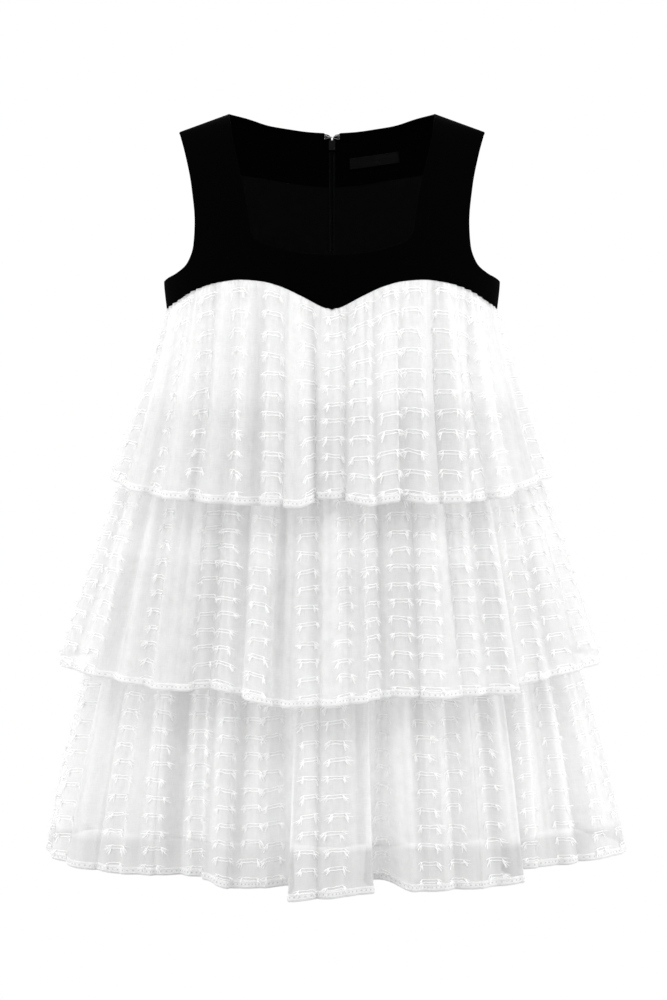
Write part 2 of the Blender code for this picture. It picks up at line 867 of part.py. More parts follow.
def zip_slider(place, material):
    """Slider inside the back, its stem through the opening and the bar that carries the pull outside."""
    half_length = SLIDER_LENGTH / 2
    inner = -(CREPE + SEAM)
    body = box((-ZIP_HALF_WIDTH, -half_length, inner - SLIDER_DEPTH), (ZIP_HALF_WIDTH, half_length, inner))
    slider = add_object("zip_slider", body, material)
    slider.matrix_world = place
    stem_end = half_length - STEM_INSET
    stem = box(
        (-ZIP_STEM_HALF, -stem_end, inner - METAL_OVERLAP),
        (ZIP_STEM_HALF, stem_end, SEAM + METAL_OVERLAP),
    )
    crown_end = half_length - CROWN_INSET
    crown = box(
        (-CROWN_HALF_WIDTH, -crown_end, SEAM),
        (CROWN_HALF_WIDTH, crown_end, SEAM + CROWN_THICKNESS),
    )
    tools = [(stem, "UNION"), (crown, "UNION")]
    top = BAR_HEIGHT + BAR_RADIUS + METAL_OVERLAP
    for sign in (-1, 1):
        near, far = sorted((sign * (CROWN_HALF_WIDTH - POST_WIDTH), sign * CROWN_HALF_WIDTH))
        post = box((near, -POST_HALF_LENGTH, SEAM + CROWN_THICKNESS / 2), (far, POST_HALF_LENGTH, top))
        tools.append((post, "UNION"))
    bar = rod(BAR_RADIUS, CROWN_HALF_WIDTH - POST_WIDTH / 2, BAR_HEIGHT)
    tools.append((bar, "UNION"))
    return combine(slider, tools)


def zip_pull(place, material):
    """Flat pull tab with an eye round the slider's bar; its origin is on the bar's axis."""
    builder = bmesh.new()
    neck = [
        (EYE_HALF_WIDTH, PULL_START),
        (EYE_HALF_WIDTH, PULL_NECK_END),
        (PULL_HALF_WIDTH, PULL_WIDE_START),
    ]
    arc_centre = PULL_LENGTH - PULL_HALF_WIDTH
    arc = []
    for i in range(9):
        angle = math.pi * i / 8
        arc.append((-PULL_HALF_WIDTH * math.cos(angle), arc_centre + PULL_HALF_WIDTH * math.sin(angle)))
    outline = [(-x, y) for x, y in neck] + arc + neck[::-1]
    half = PULL_THICKNESS / 2
    face = builder.faces.new([builder.verts.new((x, y, -half)) for x, y in outline])
    raised = bmesh.ops.extrude_face_region(builder, geom=[face])
    moved = [v for v in raised["geom"] if isinstance(v, bmesh.types.BMVert)]
    bmesh.ops.translate(builder, vec=(0, 0, PULL_THICKNESS), verts=moved)
    pull = add_object("zip_pull", builder, material)
    pull.matrix_world = place @ Matrix.Translation((0, 0, BAR_HEIGHT))
    eye = rod(EYE_RADIUS, EYE_HALF_WIDTH, 0.0)
    hole = rod(EYE_HOLE_RADIUS, EYE_HALF_WIDTH * 2, 0.0)
    return combine(pull, [(eye, "UNION"), (hole, "DIFFERENCE")])


def main():
    for old in list(bpy.data.objects):
        bpy.data.objects.remove(old, do_unlink=True)
    black_crepe = colour("black_crepe", (0.006, 0.006, 0.007), 0.75)
    black_facing = colour("black_facing", (0.004, 0.004, 0.004), 0.70)
    black_satin = colour("black_satin", (0.009, 0.009, 0.010), 0.45)
    black_ribbon = colour("black_ribbon", (0.012, 0.012, 0.013), 0.50)
    black_nylon = colour("black_nylon", (0.010, 0.010, 0.011), 0.40)
    dark_metal = colour("dark_metal", (0.030, 0.030, 0.032), 0.30, 0.8)
    white_slip = colour("white_slip", (0.82, 0.82, 0.81), 0.60)
    white_organza = colour("white_organza", (0.86, 0.86, 0.85), 0.55)
    bodice_front(black_crepe)
    bodice_back(black_crepe, black_facing, black_satin, black_ribbon)
    zip_chain(black_nylon)
    place = zip_frame()
    zip_slider(place, dark_metal)
    zip_pull(place, dark_metal)
    slip_lining(white_slip)
    gathered_tiers(white_organza)


main()
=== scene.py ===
# %% [markdown]
# # A tiered dress, dressed up in Blender
# The imported model is a plain hollow dress: black bodice, white slip and three sheer tiers, each a stiff
# wall. This lesson hangs real-looking cloth on that form. It is loaded first. The finished cloth may not
# grow past it by more than cloth would.

# %% Load the imported dress
import math

import bpy
import numpy as np
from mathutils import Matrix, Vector
from mathutils.geometry import delaunay_2d_cdt


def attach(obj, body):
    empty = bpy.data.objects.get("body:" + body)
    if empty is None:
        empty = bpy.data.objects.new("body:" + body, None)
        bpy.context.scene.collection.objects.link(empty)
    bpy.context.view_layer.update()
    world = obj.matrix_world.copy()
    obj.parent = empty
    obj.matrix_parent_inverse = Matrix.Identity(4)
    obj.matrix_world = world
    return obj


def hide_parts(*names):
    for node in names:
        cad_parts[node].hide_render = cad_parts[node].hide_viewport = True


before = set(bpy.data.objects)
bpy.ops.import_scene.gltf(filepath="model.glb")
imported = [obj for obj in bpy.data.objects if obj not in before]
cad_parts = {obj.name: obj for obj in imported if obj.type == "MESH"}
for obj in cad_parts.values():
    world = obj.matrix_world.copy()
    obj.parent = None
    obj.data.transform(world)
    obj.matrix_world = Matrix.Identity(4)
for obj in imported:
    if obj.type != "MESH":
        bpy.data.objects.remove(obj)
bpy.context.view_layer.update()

# %% [markdown]
# ## Camera
# A dress is photographed from far off with a long lens, so that near folds don't look larger than far
# ones. The hems here are shallow half ovals, which says that the camera stands a little above the skirt
# and looks down by 5 degrees.

# %% Place the camera
AIM = Vector((0.0016, 0.0, -0.4082))
CAMERA_DISTANCE = 3.24
CAMERA_TILT = math.radians(5)
camera = bpy.data.objects.new("camera", bpy.data.cameras.new("camera"))
bpy.context.scene.collection.objects.link(camera)
camera.data.lens = 108
camera.data.sensor_width = 36
camera.location = AIM + CAMERA_DISTANCE * Vector((0, -math.cos(CAMERA_TILT), math.sin(CAMERA_TILT)))
camera.rotation_euler = (math.pi / 2 - CAMERA_TILT, 0, 0)
bpy.context.scene.camera = camera
print("camera stands", round(camera.location.z - AIM.z, 3), "m above the point it looks at")

# %% [markdown]
# ## Studio
# A photographer hangs white paper behind a dress. A curved sweep could stand there, but a large sphere
# round everything looks clean from every side. It is only there to be seen: it glows by itself, lights
# nothing and throws no shadow. The floor lies far below, because the dress hangs free.

# %% Set up the studio
FLOOR_Z = -2.4
STUDIO_RADIUS = 9.0


def studio_white(name):
    """A white that glows just enough to read as clean paper."""
    white = bpy.data.materials.new(name)
    white.use_nodes = True
    shader = white.node_tree.nodes["Principled BSDF"]
    shader.inputs["Base Color"].default_value = (0, 0, 0, 1)
    shader.inputs["Specular IOR Level"].default_value = 0.0
    shader.inputs["Emission Color"].default_value = (1, 1, 1, 1)
    shader.inputs["Emission Strength"].default_value = 1.0
    return white


bpy.ops.mesh.primitive_uv_sphere_add(segments=48, ring_count=24, radius=STUDIO_RADIUS)
sweep = bpy.context.object
sweep.name = "studio_sweep"
sweep.data.materials.append(studio_white("sweep_white"))
bpy.ops.mesh.primitive_circle_add(
    vertices=64, radius=STUDIO_RADIUS, fill_type="NGON", location=(0, 0, FLOOR_Z)
)
floor = bpy.context.object
floor.name = "studio_floor"
floor.data.materials.append(studio_white("floor_white"))
for backdrop in (sweep, floor):
    for ray in ("diffuse", "glossy", "transmission", "volume_scatter", "shadow"):
        setattr(backdrop, f"visible_{ray}", False)
print("backdrop:", [backdrop.name for backdrop in (sweep, floor)])

# %% [markdown]
# ## Light from all round
# White cloth on white needs light from everywhere, so that it doesn't go grey. Even light would leave it
# flat, though. Here most of it comes from above and from both sides, and little from the camera's side
# or from below. So the flanks of each fold are brighter than its front, and the hollow inside of the
# skirt stays darker. The level of the world's light is worked out from its direction: x squared for both
# sides, z for above.

# %% Light the world from above and from both sides
LIGHT_ALL_ROUND, LIGHT_FROM_ABOVE, LIGHT_FROM_SIDES = 0.42, 0.35, 1.18
world = bpy.data.worlds.new("studio")
bpy.context.scene.world = world
world.use_nodes = True
nodes, links = world.node_tree.nodes, world.node_tree.links
towards = nodes.new("ShaderNodeTexCoord")
parts = nodes.new("ShaderNodeSeparateXYZ")
links.new(towards.outputs["Generated"], parts.inputs[0])
sides = nodes.new("ShaderNodeMath")
sides.operation = "MULTIPLY"
links.new(parts.outputs["X"], sides.inputs[0])
links.new(parts.outputs["X"], sides.inputs[1])
level = nodes.new("ShaderNodeMath")
level.operation = "MULTIPLY_ADD"
level.inputs[1].default_value, level.inputs[2].default_value = LIGHT_FROM_SIDES, LIGHT_ALL_ROUND
links.new(sides.outputs[0], level.inputs[0])
whole = nodes.new("ShaderNodeMath")
whole.operation = "MULTIPLY_ADD"
whole.inputs[1].default_value = LIGHT_FROM_ABOVE
links.new(parts.outputs["Z"], whole.inputs[0])
links.new(level.outputs[0], whole.inputs[2])
links.new(whole.outputs[0], nodes["Background"].inputs["Strength"])
nodes["Background"].inputs["Color"].default_value = (1, 1, 1, 1)
bpy.context.scene.view_settings.view_transform = "Standard"
print("world light, straight from the side and straight from above:",
      round(LIGHT_ALL_ROUND + LIGHT_FROM_SIDES, 2), round(LIGHT_ALL_ROUND + LIGHT_FROM_ABOVE, 2))

# %% [markdown]
# ## Soft boxes
# The hems drop soft shadows on the tiers below, and the black crepe shows a gentle shine. Both need
# lamps that have a place. Large rectangles are used, because a small lamp would draw hard edges. One
# hangs over the dress, one stands at each side and one behind.

# %% Hang four soft boxes


def soft_light(name, place, width, height, power):
    """A large soft box that faces the middle of the dress."""
    lamp = bpy.data.lights.new(name, "AREA")
    lamp.shape = "RECTANGLE"
    lamp.size, lamp.size_y, lamp.energy = width, height, power
    holder = bpy.data.objects.new(name, lamp)
    bpy.context.scene.collection.objects.link(holder)
    holder.location = place
    holder.rotation_euler = (AIM - Vector(place)).to_track_quat("-Z", "Y").to_euler()
    return holder


soft_light("overhead_box", (0.0, -1.7, 2.3), 2.2, 1.2, 42)
soft_light("left_box", (-2.4, -1.2, -0.1), 1.2, 2.4, 16)
soft_light("right_box", (2.4, -1.0, -0.4), 1.2, 2.4, 20)
soft_light("back_box", (0.0, 2.6, 1.5), 2.4, 1.6, 34)

# %% [markdown]
# ## The pattern
# These are the dress's own measurements, the same ones that the solid model was cut from. A curve
# through a few measured points is how a pattern cutter draws an edge. This one never swings past its
# points, so an armhole or a hem stays where it was measured.

# %% Measurements of the bodice
SEAM = 0.0003
CREPE = 0.0012
FACING = 0.0010
ORGANZA = 0.0010
SEAM_TURN = 0.0015
NECK_POINT_X, NECK_POINT_Z = 0.110, 0.0055
SHOULDER_TIP_X, SHOULDER_TIP_Z = 0.1625, -0.0135
SHOULDER_ROUNDING = 0.020
BACK_SEAM_Z = -0.2035
GIRTH = ((0.020, 0.1700), (-0.060, 0.1745), (-0.120, 0.1775), (-0.172, 0.1800), (-0.205, 0.1770))
FRONT_PROFILE = (
    (0.0, 0.0), (0.0012, 0.0100), (0.0050, 0.0205), (0.0120, 0.0320), (0.0240, 0.0440), (0.0420, 0.0550),
    (0.0680, 0.0660), (0.1000, 0.0770), (0.1350, 0.0870), (0.1700, 0.0950), (0.2050, 0.1000),
    (0.2450, 0.1030), (0.2900, 0.1050),
)
BACK_PROFILE = (
    (0.0, 0.0), (0.0012, 0.0100), (0.0050, 0.0200), (0.0120, 0.0310), (0.0240, 0.0420), (0.0420, 0.0520),
    (0.0680, 0.0610), (0.1000, 0.0690), (0.1350, 0.0760), (0.1700, 0.0810), (0.2050, 0.0845),
    (0.2450, 0.0865), (0.2900, 0.0880),
)
ARMHOLE = (
    (0.1625, -0.0135), (0.1555, -0.0380), (0.1485, -0.0720), (0.1448, -0.1100), (0.1462, -0.1340),
    (0.1530, -0.1530), (0.1660, -0.1645), (0.1745, -0.1690), (0.1800, -0.1730),
)
FRONT_NECK = (
    (0.1100, 0.0055), (0.1050, -0.0260), (0.0965, -0.0600), (0.0890, -0.1000), (0.0865, -0.1180),
    (0.0800, -0.1285), (0.0660, -0.1345), (0.0350, -0.1420), (0.0, -0.1450),
)
BACK_NECK = (
    (0.1100, 0.0055), (0.0930, 0.0015), (0.0680, -0.0062), (0.0480, -0.0095), (0.0260, -0.0125),
    (0.0085, -0.0136),
)
SWEETHEART = (
    (0.1770, -0.2035), (0.1600, -0.1920), (0.1400, -0.1800), (0.1160, -0.1720), (0.0930, -0.1690),
    (0.0730, -0.1705), (0.0540, -0.1755), (0.0320, -0.1855), (0.0100, -0.1970), (0.0, -0.2005),
)
FACING_EDGE = (
    (0.1532, -0.0480), (0.1250, -0.0545), (0.0980, -0.0580), (0.0680, -0.0625), (0.0350, -0.0680),
    (0.0038, -0.0708),
)


class Curve:
    """A smooth curve through a two-column table that doesn't overshoot it, for whole arrays at a time."""

    def __init__(self, rows, level_start=False):
        rows = np.array(sorted(rows), float)
        self.x, self.y = rows[:, 0], rows[:, 1]
        step = np.diff(self.y) / np.diff(self.x)
        self.slope = np.zeros(len(rows))
        self.slope[0] = 0.0 if level_start else step[0]
        self.slope[-1] = step[-1]
        for i in range(1, len(rows) - 1):
            if step[i - 1] * step[i] > 0:
                self.slope[i] = 2 * step[i - 1] * step[i] / (step[i - 1] + step[i])

    def __call__(self, x):
        x = np.clip(x, self.x[0], self.x[-1])
        i = np.clip(np.searchsorted(self.x, x, side="right") - 1, 0, len(self.x) - 2)
        width = self.x[i + 1] - self.x[i]
        t = (x - self.x[i]) / width
        rise = t * t * (3 - 2 * t)
        bend = self.slope[i] * (t - 2 * t**2 + t**3) + self.slope[i + 1] * (t**3 - t**2)
        return self.y[i] * (1 - rise) + self.y[i + 1] * rise + width * bend


def run_curves(profile):
    """A side profile by length of cloth: how far it has dropped and how far it reaches out."""
    profile = np.array(profile)
    run = np.concatenate([[0], np.cumsum(np.hypot(*np.diff(profile, axis=0).T))])
    drop = np.stack([run, profile[:, 0]], 1)
    reach = np.stack([run, profile[:, 1]], 1)
    return Curve(drop.tolist(), True), Curve(reach.tolist())


FRONT, BACK = -1, 1
GIRTH_AT = Curve(GIRTH)
PROFILE_AT = {FRONT: run_curves(FRONT_PROFILE), BACK: run_curves(BACK_PROFILE)}
SEAM_AT = {FRONT: Curve(SWEETHEART), BACK: Curve(((0.0, BACK_SEAM_Z), (GIRTH[-1][1], BACK_SEAM_Z)))}
print("yoke seam at the centre front:", round(float(SEAM_AT[FRONT](0.0)), 4))

# %% [markdown]
# ## The bodice's form
# Every point of the bodice has two addresses: how far it is turned from the centre line towards the side
# seam, and how much cloth lies between it and the shoulder seam. Working in those two numbers keeps the
# cloth from stretching where it rounds the shoulder, and panels that share them fit together at every
# seam.

# %% Surface of the bodice


def shoulder_line(x):
    """Height of the shoulder seam, carried on over the neck."""
    neck, tip, here = (np.hypot(at, SHOULDER_ROUNDING) for at in (NECK_POINT_X, SHOULDER_TIP_X, x))
    return NECK_POINT_Z + (NECK_POINT_Z - SHOULDER_TIP_Z) / (tip - neck) * (neck - here)


def bodice_point(side, turn, run):
    """Points of the bodice's outer face."""
    drop_of, reach_of = PROFILE_AT[side]
    drop, reach = drop_of(run), reach_of(run)
    z = -drop
    for _ in range(8):
        x = GIRTH_AT(z) * np.sin(turn)
        z = shoulder_line(x) - drop
    return np.stack(np.broadcast_arrays(x, side * reach * np.cos(turn), z), -1)


def bodice_place(side, x, z):
    """Turn and run of the points seen at x, z."""
    x, z = np.asarray(x, float), np.asarray(z, float)
    most = math.pi / 2 - SEAM_TURN
    turn = np.clip(np.arcsin(np.clip(x / GIRTH_AT(z), -1, 1)), -most, most)
    drop = np.maximum(shoulder_line(x) - z, 0)
    drop_of = PROFILE_AT[side][0]
    low, high = np.zeros_like(drop), np.full_like(drop, drop_of.x[-1])
    for _ in range(30):
        middle = (low + high) / 2
        short = drop_of(middle) < drop
        low, high = np.where(short, middle, low), np.where(short, high, middle)
    return turn, np.maximum(low, SEAM / 2 / np.cos(turn))


def unit(v):
    return v / np.maximum(np.linalg.norm(v, axis=-1, keepdims=True), 1e-12)


def bodice_normal(side, turn, run):
    """Directions straight out of the bodice's outer face."""
    across = bodice_point(side, turn + 0.002, run) - bodice_point(side, turn - 0.002, run)
    down = bodice_point(side, turn, run + 0.0004) - bodice_point(side, turn, np.maximum(run - 0.0004, 0))
    normal = unit(np.cross(across, down))
    outwards = np.stack(np.broadcast_arrays(np.sin(turn), side * np.cos(turn), 0.5), -1)
    return normal * np.sign((normal * outwards).sum(-1, keepdims=True))


print("bust reaches forward", round(-float(bodice_point(FRONT, 0.0, 0.23)[1]), 4), "m")

# %% [markdown]
# ## Helpers that turn numbers into pieces
# A piece here is a plain list of points and faces that becomes one mesh. Cloth pieces also carry a flat
# layout in metres, as it lay on the cutting table, so that a weave can follow the threads wherever the
# cloth goes. The tube helper makes every cord, rolled edge and wire.

# %% Piece helpers


def make_piece(name, points, faces, finish, flat=None, smooth=50):
    """One named mesh that moves with the garment, with its cutting-table layout if it has one."""
    mesh = bpy.data.meshes.new(name)
    mesh.from_pydata(np.asarray(points).reshape(-1, 3).tolist(), [], [list(map(int, f)) for f in faces])
    if flat is not None:
        corner = np.empty(len(mesh.loops), np.int32)
        mesh.loops.foreach_get("vertex_index", corner)
        layer = mesh.uv_layers.new(name="cloth")
        layer.data.foreach_set("uv", np.asarray(flat, float).reshape(-1, 2)[corner].ravel())
    mesh.shade_smooth()
    mesh.set_sharp_from_angle(angle=math.radians(smooth))
    mesh.materials.append(finish)
    piece = bpy.data.objects.new(name, mesh)
    bpy.context.scene.collection.objects.link(piece)
    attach(piece, "garment")
    return piece


def grid_faces(rows, columns, start=0):
    """Quads of a grid of points."""
    a = (np.arange(rows - 1)[:, None] * columns + np.arange(columns - 1)[None]).ravel() + start
    return np.stack([a, a + columns, a + columns + 1, a + 1], -1)


def tubes(paths, radius, sides=6):
    """Round cords along paths, all in one list of points and faces."""
    points, faces, start = [], [], 0
    for path in paths:
        path = np.asarray(path, float)
        along = unit(np.gradient(path, axis=0))
        side = unit(np.cross(along, [0.0, 0.3, 1.0]))
        up = np.cross(side, along)
        angle = 2 * math.pi * np.arange(sides) / sides
        width = np.broadcast_to(radius, (len(path),))[:, None, None]
        cosine, sine = np.cos(angle)[None, :, None], np.sin(angle)[None, :, None]
        ring = cosine * side[:, None] + sine * up[:, None]
        points.append((path[:, None] + width * ring).reshape(-1, 3))
        for k in range(len(path) - 1):
            for j in range(sides):
                a, b = start + k * sides + j, start + k * sides + (j + 1) % sides
                faces.append((a, b, b + sides, a + sides))
        last = start + (len(path) - 1) * sides
        faces.append(tuple(range(start + sides - 1, start - 1, -1)))
        faces.append(tuple(range(last, last + sides)))
        start += len(path) * sides
    return np.concatenate(points), faces


# %% [markdown]
# ## Black finishes
# Crepe is a dull, pebbly cloth: hardly any shine and a fine grain. The satin lining has the same black
# with a softer shine along its threads, and the ribbon label shows its ribs. Each grain is a small bump
# from a noise or a wave pattern. The colours stay plain numbers on the shader, because black cloth
# hardly varies.

# %% Black cloth and metal


def plain_finish(name, base, roughness, **sockets):
    """A Principled finish with its uniform numbers set on its own sockets."""
    finish = bpy.data.materials.new(name)
    finish.use_nodes = True
    shader = finish.node_tree.nodes["Principled BSDF"]
    shader.inputs["Base Color"].default_value = (*base, 1)
    shader.inputs["Roughness"].default_value = roughness
    for socket, value in sockets.items():
        shader.inputs[socket.replace("_", " ")].default_value = value
    return finish, finish.node_tree.nodes, finish.node_tree.links, shader


def add_grain(finish, scale, stretch, strength, distance):
    """A fine uneven grain, longer one way than the other, as a bump."""
    nodes, links = finish.node_tree.nodes, finish.node_tree.links
    place = nodes.new("ShaderNodeTexCoord")
    size = nodes.new("ShaderNodeMapping")
    size.inputs["Scale"].default_value = stretch
    grain = nodes.new("ShaderNodeTexNoise")
    grain.inputs["Scale"].default_value = scale
    grain.inputs["Detail"].default_value = 3
    bump = nodes.new("ShaderNodeBump")
    bump.inputs["Strength"].default_value = strength
    bump.inputs["Distance"].default_value = distance
    links.new(place.outputs["Object"], size.inputs["Vector"])
    links.new(size.outputs["Vector"], grain.inputs["Vector"])
    links.new(grain.outputs["Fac"], bump.inputs["Height"])
    links.new(bump.outputs["Normal"], nodes["Principled BSDF"].inputs["Normal"])


def black_cloth(name, level, roughness, scale, stretch, strength, specular):
    finish, *_ = plain_finish(name, (level, level, level * 1.08), roughness, Specular_IOR_Level=specular)
    add_grain(finish, scale, stretch, strength, 0.0004)
    return finish


crepe = black_cloth("black_crepe", 0.0005, 0.85, 1500, (1, 1, 1), 0.7, 0.010)
facing_cloth = black_cloth("black_facing", 0.0005, 0.85, 1500, (1, 1, 1), 0.5, 0.010)
satin = black_cloth("black_satin", 0.0015, 0.5, 700, (3, 1, 0.2), 0.4, 0.028)
ribbon = black_cloth("black_ribbon", 0.0020, 0.55, 900, (0.2, 1, 4), 0.8, 0.06)
nylon = black_cloth("black_nylon", 0.0012, 0.4, 900, (1, 1, 1), 0.2, 0.06)
metal, *_ = plain_finish("dark_metal", (0.012, 0.012, 0.013), 0.22, Metallic=0.6, Specular_IOR_Level=0.3)
add_grain(metal, 2500, (1, 1, 1), 0.12, 0.0002)
print("black finishes:", [m.name for m in (crepe, facing_cloth, satin, ribbon, nylon, metal)])

# %% [markdown]
# ## Cutting the bodice
# Each panel is drawn as a closed outline, filled with small even triangles and wrapped onto the form as
# two skins a cloth's thickness apart. The back's facing, lining and label use the same triangles as the
# back itself, moved inwards, so the layers lie exactly on one another as sewn layers do.

# %% Panel helpers
LAYOUT_WIDTH = 0.150
PANEL_GRID = 0.0065
EDGE_STEP = 0.0035


def even_line(points, step=EDGE_STEP):
    """Points a step apart along a smooth line through a table's points."""
    points = np.array(points, float)
    length = np.concatenate([[0], np.cumsum(np.hypot(*np.diff(points, axis=0).T))])
    places = np.linspace(0, length[-1], max(1, round(length[-1] / step)) + 1)
    x_at, z_at = (Curve(np.stack([length, points[:, i]], 1).tolist()) for i in (0, 1))
    return np.stack([x_at(places), z_at(places)], -1)


def joined(*edges):
    """One closed outline from edges that follow each other."""
    line = np.concatenate(edges)
    keep = np.linalg.norm(line - np.roll(line, 1, axis=0), axis=1) > 1e-6
    return line[keep]


def flip(line):
    return line * [-1, 1]


def inside(points, outline):
    """True for each point within a closed outline."""
    a, b = outline, np.roll(outline, -1, axis=0)
    x, y = points[:, 0, None], points[:, 1, None]
    rise = np.where(b[:, 1] == a[:, 1], 1e-12, b[:, 1] - a[:, 1])
    crosses = ((a[:, 1] > y) != (b[:, 1] > y)) & (x < (b[:, 0] - a[:, 0]) * (y - a[:, 1]) / rise + a[:, 0])
    return crosses.sum(1) % 2 == 1


def lay_out(side, outline, lines=(), spacing=PANEL_GRID):
    """Small triangles that fill an outline and keep the lines drawn on it, as turn, run and faces."""
    points, edges, count = [], [], 0
    for line, closed in ((outline, True), *lines):
        turn, run = bodice_place(side, line[:, 0], line[:, 1])
        points.append(np.stack([turn * LAYOUT_WIDTH, run], -1))
        edges += [(i, i + 1) for i in range(count, count + len(line) - 1)]
        if closed:
            edges.append((count + len(line) - 1, count))
        count += len(line)
    drawn, border = np.concatenate(points), points[0]
    low, high = border.min(0), border.max(0)
    x, y = np.meshgrid(np.arange(low[0], high[0], spacing), np.arange(low[1], high[1], spacing * 0.85))
    x[1::2] += spacing / 2
    fill = np.stack([x.ravel(), y.ravel()], -1)
    fill = fill[inside(fill, border)]
    gap = np.array([np.hypot(*(drawn - p).T).min() for p in fill])
    fill = fill[gap > spacing * 0.45]
    everything = [Vector(p) for p in np.concatenate([drawn, fill]).tolist()]
    flat, _, faces, *_ = delaunay_2d_cdt(everything, edges, [list(range(len(border)))], 1, 1e-7)
    flat = np.array([tuple(p) for p in flat])
    return flat[:, 0] / LAYOUT_WIDTH, flat[:, 1], np.array(faces)


def cut_panel(name, side, layout, inset, wall, finish, keep=None):
    """A panel of cloth over a layout's triangles, inset from the form's face. Also returns its area."""
    turn, run, faces = layout
    base, normal = bodice_point(side, turn, run), bodice_normal(side, turn, run)
    if keep is not None:
        faces = faces[keep(base[faces].mean(1))]
    used, index = np.unique(faces, return_inverse=True)
    faces = index.reshape(faces.shape)
    base, normal = base[used], normal[used]
    outer, inner = base - normal * inset, base - normal * (inset + wall)
    corner = outer[faces]
    skin = corner[:, 1] - corner[:, 0], corner[:, 2] - corner[:, 0]
    facing_out = (np.cross(*skin) * normal[faces[:, 0]]).sum(1)
    faces = np.where(facing_out[:, None] > 0, faces, faces[:, ::-1])
    count = len(used)
    edges = np.concatenate([faces[:, [0, 1]], faces[:, [1, 2]], faces[:, [2, 0]]])
    key = np.sort(edges, axis=1)
    _, first, uses = np.unique(key, axis=0, return_index=True, return_counts=True)
    rim = edges[first[uses == 1]]
    walls = np.stack([rim[:, 1], rim[:, 0], rim[:, 0] + count, rim[:, 1] + count], -1)
    every = [*faces.tolist(), *(faces[:, ::-1] + count).tolist(), *walls.tolist()]
    flat = np.stack([turn[used] * LAYOUT_WIDTH, run[used]], -1)
    points, flat = np.concatenate([outer, inner]), np.concatenate([flat, flat])
    piece = make_piece(name, points, every, finish, flat)
    area = float(np.linalg.norm(np.cross(*skin), axis=1).sum() / 2)
    return piece, area


print("panel grid:", PANEL_GRID * 1000, "mm")

# %% [markdown]
# ## Bodice front
# One piece with a deep U neck. Its lower edge is the sweetheart seam, two arcs that meet in a point at
# the centre front, and the gathered skirt hangs from it.

# %% Cut the bodice front
SHOULDER_STEPS = 15
shoulder_x = np.linspace(NECK_POINT_X, SHOULDER_TIP_X, SHOULDER_STEPS + 1)
shoulder = np.stack([shoulder_x, shoulder_line(shoulder_x)], -1)
armhole = even_line(ARMHOLE)
front_neck = even_line(FRONT_NECK)
sweetheart = even_line(SWEETHEART)


def side_seam(bottom):
    heights = np.linspace(ARMHOLE[-1][1], bottom, 10)
    return np.stack([GIRTH_AT(heights), heights], -1)


right = np.concatenate([shoulder, armhole, side_seam(SWEETHEART[0][1]), sweetheart])
left = flip(np.concatenate([front_neck[::-1], right]))[::-1]
front_layout = lay_out(FRONT, joined(front_neck[::-1], right, left))
bodice_front, front_area = cut_panel(
    "front_panel", FRONT, front_layout, 0.0, CREPE, crepe
)
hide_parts("bodice_front")
print("front panel:", len(bodice_front.data.polygons), "faces,", round(front_area, 4), "square metres")

# %% [markdown]
# ## Bodice back
# Two halves that meet at the centre back zip. Inside each, a facing of the same black cloth finishes the
# neck, and a satin lining starts under the facing's curved edge. A blank ribbon label is sewn to the
# right facing.

# %% Cut the bodice back
ZIP_X = 0.0038
ZIP_OPEN_HALF, ZIP_NOTCH_Z, ZIP_LIP_Z, ZIP_TOP_Z = 0.0009, -0.0170, -0.0146, -0.0310
LABEL_CORNERS = ((0.0195, -0.0395), (0.0728, -0.0320), (0.0742, -0.0438), (0.0200, -0.0513))
back_neck = even_line(BACK_NECK)
facing_hem = even_line(FACING_EDGE)
lining_top = facing_hem - [0, SEAM]
label_edges = zip(LABEL_CORNERS, LABEL_CORNERS[1:] + LABEL_CORNERS[:1])
label_line = joined(*(even_line(edge) for edge in label_edges))
back_bottom = even_line(((GIRTH[-1][1], BACK_SEAM_Z), (ZIP_X, BACK_SEAM_Z)))
opening = np.concatenate([
    even_line(((SEAM / 2, BACK_SEAM_Z), (SEAM / 2 + 1e-6, ZIP_TOP_Z - 0.001)))[1:],
    [(ZIP_OPEN_HALF, ZIP_TOP_Z), (ZIP_OPEN_HALF, ZIP_NOTCH_Z), (ZIP_X, ZIP_LIP_Z), tuple(back_neck[-1])],
])
zip_side = np.concatenate([
    even_line(((ZIP_X, ZIP_LIP_Z), tuple(facing_hem[-1]))),
    even_line((tuple(lining_top[-1]), (ZIP_X + 1e-6, BACK_SEAM_Z))),
])
back_armhole = np.concatenate([armhole, facing_hem[:1], lining_top[:1]])
back_armhole = back_armhole[np.argsort(-back_armhole[:, 1], kind="stable")]
bottom_corner = np.array([(SEAM / 2, BACK_SEAM_Z)])
back_outline = joined(
    back_neck[::-1], shoulder, back_armhole, side_seam(BACK_SEAM_Z), back_bottom, bottom_corner, opening
)
hem_height = Curve(facing_hem.tolist())
back_areas = {}
